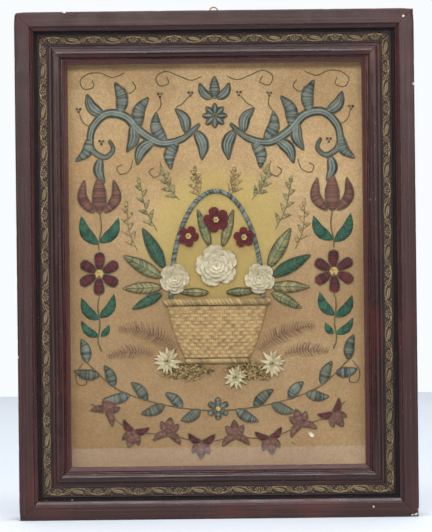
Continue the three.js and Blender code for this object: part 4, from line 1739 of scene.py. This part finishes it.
@dataclass
class Blossoms(Handwork):
    """Flowers made of rings of petals, each on a short core that stands on the cloth."""

    roses: tuple[Spot, ...] = (
        ("rose_centre", 0, 279, 26, 0.2), ("rose_left", -47, 265, 19, 0.9),
        ("rose_right", 48, 264, 19, 0.5),
    )
    velvets: tuple[Spot, ...] = (
        ("velvet_flower_top", 0, 330, 16, 0.31), ("velvet_flower_left", -31, 312, 13, 0.8),
        ("velvet_flower_right", 31, 310, 13, 0.1),
    )
    edelweiss: tuple[Spot, ...] = (
        ("edelweiss_left", -56, 173, 18, 0.1), ("edelweiss_middle", 20, 154, 15, 0.3),
        ("edelweiss_right", 61, 169, 17, 0.2),
    )
    rose_rows: tuple[PetalRow, ...] = (
        PetalRow(5, 0.0, 1.0, 0.56, 2.7, -0.2, 0.7, 0.9),
        PetalRow(5, 0.63, 0.79, 0.47, 3.6, 0.5, 1.1, 0.7),
        PetalRow(5, 0.25, 0.58, 0.37, 4.5, 1.6, 1.4, 0.2),
        PetalRow(4, 0.9, 0.38, 0.28, 5.4, 2.9, 1.3, -0.5),
        PetalRow(3, 0.1, 0.2, 0.19, 6.6, 3.2, 0.9, -0.7),
    )
    velvet_rows: tuple[PetalRow, ...] = (PetalRow(5, 0.0, 1.0, 0.5, 3.3, 0.5, -0.5, -0.5),)
    edelweiss_rows: tuple[PetalRow, ...] = (
        PetalRow(11, 0.0, 1.0, 0.11, 3.3, -0.3, -0.2, 0.6),
        PetalRow(9, 0.3, 0.8, 0.1, 3.9, 0.2, -0.2, 0.7),
        PetalRow(7, 0.15, 0.52, 0.1, 4.5, 0.6, -0.2, 0.4),
    )

    def flower(self, spot: Spot, rows: tuple[PetalRow, ...], form: PetalForm, thick: float) -> Surface:
        """One flower's rings of petals and its core.

        Args:
            spot: name, x, z, radius and turn.
            rows: its rings of petals.
            form: the petals' outline.
            thick: the petals' thickness.

        Returns:
            Its surface.
        """
        _, x, z, radius, turn = spot
        surface = Surface()
        rounded = form is PetalForm.ROUND
        ragged = 0.04 if rounded else 0.22
        for number, row in enumerate(rows):
            k = np.arange(row.count)
            vary = chance(k + 7 * number, x + z)
            angle = turn + pi / 2 + row.start + turns(row.count) + (0.1 + ragged) * (vary - 0.5)
            length = row.reach * radius * (1 - ragged * (1 - chance(k, x + number)))
            length = length * (0.94 if rounded else 1)
            root = np.stack([x + 0.06 * length * cos(angle), z + 0.06 * length * sin(angle)], 1)
            out = (row.low + 0.18 * (k % 3), row.lift, row.cup, row.curl)
            wide = row.wide * radius * (0.95 + 0.1 * chance(k, z))
            *petals, relief = petal_rings(self.face, root, angle, length * 0.94, wide, out, form, thick)
            # Painted shade: rose rows that lie further out and lower get less relief, so they are drawn
            # darker.
            if rounded and thick < 1:
                relief = relief * (0.55 + 0.45 * (number + 1) / len(rows))
            surface.add(*petals, relief)
        self.core(surface, (x, z), 0.16 * radius, rows[0].low)
        return surface

    def core(self, surface: Surface, middle: Point, radius: float, top: float) -> None:
        """A short stalk from the cloth to the petals: rings of a shrinking circle.

        Args:
            surface: the flower that it is added to.
            middle: the flower's middle.
            radius: the stalk's radius.
            top: how far out the petals begin.
        """
        out = np.array([0.02, 0.5 * top, top])[:, None]
        angle = turns(14)[None]
        wide = radius * np.array([1.25, 0.95, 1.1])[:, None]
        x, z = middle[0] + wide * cos(angle), middle[1] + wide * sin(angle)
        # Painted shade: the stalk under the petals gets a low relief value, so the plant finish draws it
        # dark.
        surface.add(self.face.at(x, z, out), None, 0.2, 0.1)

    def build(self) -> None:
        """Makes every flower, then the knots in their middles."""
        rounded, pointed = PetalForm.ROUND, PetalForm.POINTED
        kinds = (
            (self.roses, self.rose_rows, rounded, 0.45, "pressed", CREAM, "pressed_cream"),
            (self.velvets, self.velvet_rows, rounded, 1.5, "cut", VELVET, "velvet"),
            (self.edelweiss, self.edelweiss_rows, pointed, 1.0, "dried", WOOL, "wool_bract"),
        )
        for spots, rows, form, thick, how, finish, slot in kinds:
            for spot in spots:
                made = self.flower(spot, rows, form, thick)
                made.piece(f"{how}_{spot[0]}", finish, slot, spot[0])
        hearts = self.needle()
        for _, x, z, _, _ in self.velvets:
            hearts.heart((x, z), 2.2, 6, 1.25, KNOT, 3.2)
        for _, x, z, _, turn in self.edelweiss:
            hearts.heart((x, z), 2.5, 6, 1.5, HEART, 4.7, turn)
        hearts.pieces("flower_hearts")


@dataclass
class Basket(Handwork):
    """The woven basket with its roped rim and foot and its wrapped handle.

    Its row is the height of a splint and its stake the pitch of the stakes. A rope is its length, radius,
    height and twist. Its arch is the handle's half width and rise, its band the handle's width and its wrap
    the pitch of the thread round it.
    """

    foot: float = 176.0
    height: float = 58.0
    foot_width: float = 74.0
    mouth_width: float = 112.0
    swell: float = 4.0
    row: float = 4.1
    stake: float = 5.6
    stand: float = 0.35
    strands: int = 3
    rim_rope: Row = (112, 4.0, 238.3, 13.0)
    foot_rope: Row = (66, 3.0, 172.7, 10.0)
    spring: float = 242.6
    arch: Point = (54.0, 122.0)
    band: float = 5.5
    wrap: float = 1.7

    def half_width(self, share: Array) -> tuple[Array, Array]:
        """The side's curve, a quadratic that runs from the foot to the mouth and is drawn to the swell.

        Args:
            share: the way along it, from 0 at the foot to 1 at the mouth.

        Returns:
            The half width and the height above the foot.
        """
        foot, mouth = self.foot_width / 2, self.mouth_width / 2
        side = (foot + mouth) / 2 + self.swell
        half = (1 - share) ** 2 * foot + 2 * share * (1 - share) * side + share**2 * mouth
        up = 2 * share * (1 - share) * self.height * 0.45 + share**2 * self.height
        return half, up

    def body(self) -> Surface:
        """The woven side: splints pass over and under the stakes, and the whole bulges forward."""
        share = np.linspace(0.004, 0.996, 110)[:, None]
        across = np.linspace(-1, 1, 171)[None]
        half, up = self.half_width(share)
        x = (half - 0.3) * across
        column = across * self.mouth_width / self.stake / 2
        level = up / self.row
        line = np.floor(level)
        over = sin(pi * column + pi * line)
        splint = np.abs(sin(pi * level)) ** 0.55 * (0.5 + 0.5 * over)
        stake = 0.75 * np.abs(cos(pi * column)) ** 0.5 * (0.5 - 0.5 * over)
        weave = np.maximum(splint, stake)
        bulge = 4.9 * dome(np.abs(across) ** 5) * (0.86 + 0.14 * sin(pi * share))
        out = self.stand + 0.15 + bulge + 1.25 * weave * smooth(1, 0.97, np.abs(across))
        z = self.foot + up + 0 * across
        tone = chance(line * 31 + np.floor(column + 0.5 * (line % 2)), 2)
        rings = slab(self.face.at(x, z, out), self.face.at(x[:, [0, -1]], z[:, [0, -1]], self.stand))
        # The weave's height as relief: the straw finish paints shade where the splints dip under.
        shade, relief = with_foot(0.35 + 0.35 * tone), with_foot(0.1 + 0.9 * weave)
        return Surface().add(rings, slab_map(up, x), shade, relief)

    def rope(self, length: float, radius: float, z: float, twist: float) -> Surface:
        """A twisted rope along x: its radius is drawn in between its strands, which wind along it.

        Args:
            length: from the middle of one rounded end to the other.
            radius: half its thickness.
            z: how high it lies.
            twist: millimetres in which a strand goes once round.

        Returns:
            Its surface.
        """
        s = np.linspace(-length / 2 - radius * 0.9, length / 2 + radius * 0.9, round(length / 0.75))[:, None]
        angle = turns(26)[None]
        wind = self.strands * (angle - 2 * pi * s / twist) / 2
        lobe = np.abs(cos(wind))
        past = np.clip((np.abs(s) - length / 2) / radius, 0, 0.97)
        thick = (radius - 0.1) * (0.84 + 0.16 * lobe**0.7) * sqrt(1 - past**2)
        out = self.stand - 0.05 + radius + thick * sin(angle)
        rings = self.face.at(s, z + thick * cos(angle), out)
        tone = chance(np.floor(wind / pi + 0.5), 6)
        # Painted shade: each strand's tone fades to dark in the grooves between strands.
        return Surface().add(rings, None, 0.25 + 0.75 * tone * lobe, 0.2 + 0.8 * lobe)

    def handle(self) -> Surface:
        """The handle: a flat oval section swept over half an ellipse, ridged by the thread round it."""
        turn = np.linspace(0, pi, 480)[:, None]
        wide, rise = (size - self.band / 2 for size in self.arch)
        line = np.concatenate([wide * cos(turn), self.spring + rise * sin(turn)], 1)
        steps = np.concatenate([[0], np.cumsum(sqrt((np.diff(line, axis=0) ** 2).sum(1)))])[:, None]
        angle = turns(12)[None]
        wraps = (steps + 1.1 * cos(angle)) / self.wrap
        ridge = np.abs(sin(pi * wraps)) ** 0.7
        swell = 0.9 + 0.1 * ridge
        aside = (self.band / 2 - 0.1) * swell * cos(angle)
        place = line[:, None, :] + aside[..., None] * sideways(line)[:, None, :]
        out = self.stand + 1.15 + 1.2 * swell * sin(angle)
        tone = chance(np.floor(wraps), 3)
        # Painted shade: each wrap is darker where it dips between its neighbours.
        return Surface().add(self.face.over(place, out), None, tone * (0.3 + 0.7 * ridge), ridge)

    def build(self) -> None:
        """Makes the basket's four pieces."""
        self.body().piece("woven_body", STRAW, "straw", "basket_body")
        self.rope(*self.rim_rope).piece("roped_rim", ROPE, "laid_thread", "basket_rim")
        self.rope(*self.foot_rope).piece("roped_foot", ROPE, "laid_thread", "basket_foot")
        self.handle().piece("wrapped_handle", TEAL, "teal_cord", "basket_handle")


@dataclass
class PalmLeaves(Handwork):
    """The long leaves round the basket, padded and feathered.

    A row holds a leaf's name, its root, the way it points in degrees, its length, width and thread.
    """

    leaves: tuple[tuple[str, float, float, float, float, float, Thread], ...] = (
        ("inner_left", -7, 300, 108, 44, 10, LEAF),
        ("inner_right", 7, 300, 73, 43, 10, OLIVE),
        ("rim_left", -9, 248.5, 178, 35, 9, OLIVE),
        ("rim_right", 10, 248.5, 2, 34, 9, LEAF),
        ("left_high", -58, 276, 118, 52, 15, GREEN),
        ("left_upper", -61, 266, 150, 50, 15, LEAF),
        ("left_lower", -61, 255, 181, 44, 13, OLIVE),
        ("left_low", -61, 248, 207, 38, 11, GREEN),
        ("right_high", 58, 276, 60, 51, 15, LEAF),
        ("right_upper", 61, 266, 28, 51, 15, GREEN),
        ("right_lower", 61, 255, -2, 43, 13, OLIVE),
        ("right_low", 61, 248, -28, 38, 11, LEAF),
    )

    def build(self) -> None:
        """Works each leaf as a piece of its own, then all their cords."""
        cords = self.needle()
        for name, x, z, angle, length, width, thread in self.leaves:
            way = heading(angle)
            root = np.array([x, z])
            points = tuple(root + way * length * share for share in (0.01, 0.5, 0.985))
            work = self.needle()
            stroke = Stroke(points, 0.46 * width, Lay.FEATHER, 2.1, False)
            work.satin(stroke, thread, 0.3)
            work.work[thread].piece(f"leaf_{name}", thread, "laid_thread", f"palm_leaf_{name}")
            cords.outline(stroke, 0.2)
            rib = np.array([root + way * length * share for share in np.linspace(0.03, 0.93, 20)])
            cords.cord(rib, STEM, 0.5, 2.3)
        cords.pieces("leaf_cords")


@dataclass
class Ferns(Handwork):
    """Dried fronds: a bent rib with pairs of toothed leaflets that shorten to the tip."""

    fronds: tuple[tuple[str, Point, Point, Point, float], ...] = (
        ("fern_left_upper", (-46, 184), (-68, 212), (-110, 209), 11),
        ("fern_left_lower", (-72, 180), (-94, 190), (-122, 178), 9),
        ("fern_right_upper", (46, 184), (70, 208), (109, 211), 11),
        ("fern_right_lower", (75, 179), (96, 188), (124, 181), 9),
    )
    step: float = 3.1

    def frond(self, root: Point, knee: Point, tip: Point, half: float) -> Surface:
        """One frond along a quadratic rib.

        Args:
            root: where the rib starts.
            knee: the point that bends it.
            tip: where it ends.
            half: the longest leaflet's reach.

        Returns:
            Its surface.
        """
        t = np.linspace(0, 1, 40)[:, None]
        rib = (1 - t) ** 2 * np.array(root) + 2 * t * (1 - t) * np.array(knee) + t**2 * np.array(tip)
        rib = resample(rib, 40)
        work = self.needle()
        work.cord(rib, FLOURISH, 0.55, 0.5)
        surface = work.work[FLOURISH]
        pairs = round(length_of(rib) / self.step)
        number = np.arange(pairs)
        share = (number + 0.4) / pairs
        at = np.interp(share, np.linspace(0, 1, 40), np.arange(40))
        spots = np.stack([np.interp(at, np.arange(40), rib[:, c]) for c in (0, 1)], 1)
        normal = sideways(rib)[np.round(at).astype(int)]
        forward = np.arctan2(-normal[:, 0], normal[:, 1])
        plump = half * (0.4 + 3.1 * share * (1 - share)) * (1 - 0.3 * share)
        out = (0.75, 0.15 + 0.5 * chance(number, 9), -0.25, 0.1)
        for sign in (-1, 1):
            lean = sign * (1.3 - 0.35 * share) + 0.2 * (chance(number, 3 + sign) - 0.5)
            reach = plump * (0.88 + 0.24 * chance(number, sign))
            wide = 0.075 * reach + 0.34
            kind = (PetalForm.TOOTHED, 0.4, (9, 5))
            surface.add(*petal_rings(self.face, spots, forward + lean, reach, wide, out, *kind))
        return surface

    def build(self) -> None:
        """Makes the four fronds."""
        for name, root, knee, tip, half in self.fronds:
            made = self.frond(root, knee, tip, half)
            made.piece(f"dried_{name}", FERN, "dried_fern", name)


@dataclass
class Moss(Handwork):
    """Low lumps of dried moss with loose tufts."""

    clumps: tuple[Spot, ...] = (
        ("moss_left", -36, 161, 27, 7),
        ("moss_right", 38, 160, 28, 6.5),
    )
    tufts: int = 110
    grains: int = 380

    def clump(self, x: float, z: float, half_length: float, half_height: float) -> Surface:
        """A lumpy oval dome under many small grains, with leaflets that stand between them.

        Args:
            x: its middle across.
            z: its middle up.
            half_length: its greatest reach across.
            half_height: its greatest reach up.

        Returns:
            Its surface.
        """
        r = np.linspace(0.03, 1, 12)[:, None]
        angle = turns(56)[None]
        petal = 1 - 0.22 * r * (1 - np.abs(cos(3.5 * angle)))
        px, pz = x + half_length * r * petal * cos(angle), z + half_height * r * petal * sin(angle)
        lump = 0.75 + 0.25 * rumple(px, pz, 4.2, 0.3) + 0.12 * rumple(px, pz, 1.9, 1.3)
        out = 0.3 + 2.2 * dome(r**2.4) * lump
        rim = self.face.at(px[-1:], pz[-1:], 0.02)
        rings = np.concatenate([self.face.at(px, pz, out), rim], 0)

        def around(share: Array, turn: Array, wide: float, high: float) -> Array:
            """Places at a share of the way out, each at its own turn round the middle."""
            across, up = wide * half_length * share * cos(turn), high * half_height * share * sin(turn)
            return np.stack([x + across, z + up], 1)

        k = np.arange(self.grains)
        spread, turn = chance(k, x + 2) ** 0.55, 2 * pi * chance(k, x + 3)
        ragged = 1 + 0.16 * sin(5 * turn + x) + 0.1 * sin(11 * turn)
        level = 0.1 + 1.9 * dome(spread**2.4)
        work = self.needle()
        work.knots(around(spread * ragged, turn, 1, 1.5), 0.6 + 0.8 * chance(k, 6), KNOT, level)
        surface = work.work[KNOT]
        # Painted shade: the dome's relief falls to 0 at its foot and each grain's relief is lowest
        # underneath, so the moss finish draws them darker there.
        surface.add(rings, None, 0.2, np.concatenate([lump, 0 * lump[:1]], 0))
        k = np.arange(self.tufts)
        spread, turn = sqrt(chance(k, x)), 2 * pi * chance(k, x + 1)
        root, away = around(spread, turn, 0.86, 0.8), 2 * pi * chance(k, 8)
        out = (0.5 + 1.6 * (1 - spread**2), 0.6 + 1.1 * chance(k, 5), 0.1, 0.0)
        length, wide = 2.2 + 2.4 * chance(k, 2), 0.5 + 0.4 * chance(k, 3)
        kind = (PetalForm.POINTED, 0.3, (5, 4))
        surface.add(*petal_rings(self.face, root, away, length, wide, out, *kind))
        return surface

    def build(self) -> None:
        """Makes both clumps."""
        for name, x, z, half_length, half_height in self.clumps:
            made = self.clump(x, z, half_length, half_height)
            made.piece(f"dried_{name}", MOSS, "moss", name)


@dataclass
class LooseBits(Handwork):
    """A cream petal and a dark sliver that lie loose near the bottom right.

    A row holds a name, a root, an angle, a length, a half width, how it lies, its form, finish and slot.
    """

    bits: tuple[tuple[str, Point, float, float, float, Row, PetalForm, Finish, str], ...] = (
        (
            "loose_petal", (100.4, 91.8), -0.7, 8.0, 2.9, (0.7, 0.8, 0.5, 0.3),
            PetalForm.ROUND, CREAM, "pressed_cream",
        ),
        (
            "loose_sliver", (81.6, 81.0), -0.55, 6.0, 0.9, (0.5, 0.2, 0.1, 0.0),
            PetalForm.POINTED, FERN, "dried_fern",
        ),
    )

    def build(self) -> None:
        """Makes both as small plates."""
        for name, root, angle, length, wide, out, form, finish, slot in self.bits:
            root, angle, length, wide = (np.array([value]) for value in (root, angle, length, wide))
            rings = petal_rings(self.face, root, angle, length, wide, out, form)
            Surface().add(*rings).piece(name, finish, slot)


@dataclass
class Hanger(Handwork):
    """The wire loop at the top, round in section, with the twist of its closing.

    The closing turn starts at so many degrees, runs on for so many, and goes so many times round the loop.
    """

    height: float = 563.7
    radius: float = 4.5
    wire: float = 0.8
    behind: float = 2.2
    closing: Row = (58, 40, 3.2)
    wound: float = 0.62
    thin: float = 0.26

    def swept(self, at: Array, reach: Array, depth: Array) -> Array:
        """Points at that angle and reach from the loop's middle, depth behind the frame's back."""
        return self.face.from_back(reach * cos(at), self.height + reach * sin(at), -depth)

    def build(self) -> None:
        """Makes the loop as a torus and winds its closing turn round it."""
        turn, angle = turns(64)[:, None], turns(12)[None]
        thick = (self.wire - 0.02) * (0.96 + 0.04 * cos(3 * turn + angle))
        reach, depth = self.radius + thick * cos(angle), self.behind + thick * sin(angle)
        surface = Surface()
        surface.add(self.swept(turn, reach, depth), loop=True)
        start, run, times = self.closing
        s = np.linspace(0, 1, 60)[:, None]
        around = 2 * pi * times * s
        thin = self.thin * np.minimum(1, np.minimum(s, 1 - s) * 14 + 0.2)
        reach = self.radius + self.wound * cos(around) + thin * cos(angle)
        depth = self.behind + self.wound * sin(around) + thin * sin(angle)
        surface.add(self.swept(np.radians(start + run * s), reach, depth))
        surface.piece("wire_loop", BRASS, "brass", "hanging_ring")


# The studio


@dataclass
class Studio:
    """A pale floor, soft light from above and the front, and the camera of the photograph, in metres.

    Shown is how much of the front plane's height the picture takes in, and roll is in degrees.
    """

    front: float
    distance: float = 2.5
    shown: float = 0.5852
    aim: Point = (-0.0006, 0.2783)
    roll: float = 0.65
    sensor: float = 36.0

    def camera(self) -> None:
        """A long lens level with the frame's middle."""
        data = bpy.data.cameras.new("camera")
        data.sensor_fit, data.sensor_width = "AUTO", self.sensor
        data.lens = self.sensor * self.distance / self.shown
        made = linked("camera", data)
        place = Matrix.Translation(Vector((self.aim[0], self.front - self.distance, self.aim[1])))
        facing = Matrix.Rotation(math.radians(90), 4, "X")
        made.matrix_world = place @ facing @ Matrix.Rotation(math.radians(-self.roll), 4, "Z")
        bpy.context.scene.camera = made

    def floor(self) -> None:
        """A pale board, greyed by painted shade towards the camera, that ends short of it."""
        mesh = bpy.data.meshes.new("floor")
        mesh.from_pydata([(x, y, 0) for y in (-0.97, 2.4) for x in (-3, 3)], [], [(0, 1, 3, 2)])
        made = linked("floor", mesh)
        r = Recipe("floor_board")
        tone = r.mix(r.noise(r.place(), 3.0, 2), (206, 212, 221), (212, 217, 226))
        # Painted shade: the board greys towards the camera.
        tone = r.mix(r.spread(r.parts(r.place())[1], -0.5, -0.25, 0.5, 0), tone, (120, 122, 128))
        mesh.materials.append(r.finish(tone, Roughness=0.7))

    def lights(self) -> None:
        """A wide lamp in front, one at each side, a strip overhead and one over the floor behind."""
        lamps = (
            ("key", (-0.05, -1.6, 0.92), (1.5, 0.36), 20.0, (1.0, 0.985, 0.965), (0, 0, 0.3)),
            ("left", (-1.1, -1.9, 0.8), (1.2, 1.2), 6.0, (1.0, 0.985, 0.965), (0, 0, 0.28)),
            ("right", (1.1, -2.0, 0.8), (1.2, 1.2), 9.0, (1.0, 0.985, 0.965), (0, 0, 0.28)),
            ("overhead", (0.1, -0.38, 1.4), (1.7, 0.26), 13.0, (0.97, 0.98, 1.0), (0, -0.05, 0.4)),
            ("behind", (0.0, 1.5, 1.6), (3.0, 1.2), 15.0, (0.96, 0.98, 1.0), (0, 1.6, 0)),
        )
        for name, place, size, power, colour, at in lamps:
            data = bpy.data.lights.new(name, "AREA")
            data.shape, data.size, data.size_y = "RECTANGLE", size[0], size[1]
            data.energy, data.color = power, colour
            made = linked(name, data)
            spot = Vector(place)
            aim = (Vector(at) - spot).to_track_quat("-Z", "Y")
            made.matrix_world = Matrix.Translation(spot) @ aim.to_matrix().to_4x4()

    def surroundings(self) -> None:
        """Near white to the eye, soft grey as light, and dim in front, where a dark room is mirrored."""
        world = bpy.data.worlds.new("room")
        bpy.context.scene.world = world
        r = Recipe("room", world)
        _, y, z = r.parts(r.node("TexCoord").outputs["Generated"])
        front = r.times(r.spread(y, -0.985, 0.2, 0.1, 0.8), r.spread(z, 0.1, 0.9, 0.8, 1.4))
        seen = r.node("LightPath").outputs["Is Camera Ray"]
        level = r.node("Mix", {0: seen, 2: front, 3: 1.0}).outputs[0]
        light = r.node("Background", {0: (0.945, 0.975, 0.99), 1: level})
        r.node("OutputWorld", {0: light.outputs[0]})

    def build(self) -> None:
        """Sets up the whole studio."""
        self.camera()
        self.floor()
        self.lights()
        self.surroundings()
        view = bpy.context.scene.view_settings
        view.view_transform, view.look = "Standard", "None"
        LOG.info("studio: ready")


def corners(box: tuple[Vector, Vector]) -> list[list[float]]:
    """A box's two corners as plain lists."""
    return [[float(v) for v in corner] for corner in box]


def main() -> None:
    """Builds every sub-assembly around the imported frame."""
    logging.basicConfig(level=logging.INFO, format="%(message)s")
    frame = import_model()
    face = Face(cloth=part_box("ground_cloth")[0].y, back=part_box("rail_right")[1].y)
    Moulding(face).build()
    VineStrip(face).build()
    Glazing(frame["nodes"]).build()
    GroundCloth(face).build()
    stitched = (TopGarland, StarFlower, Flanks, Sprigs, Festoon, BudArc)
    for group in (*stitched, Basket, PalmLeaves, Ferns, Moss, Blossoms):
        group(face).build()
        LOG.info("%s: built", group.__name__)
    LooseBits(face).build()
    Hanger(face).build()
    Studio(front=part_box("rail_bottom")[0].y).build()


if __name__ == "__main__":
    main()
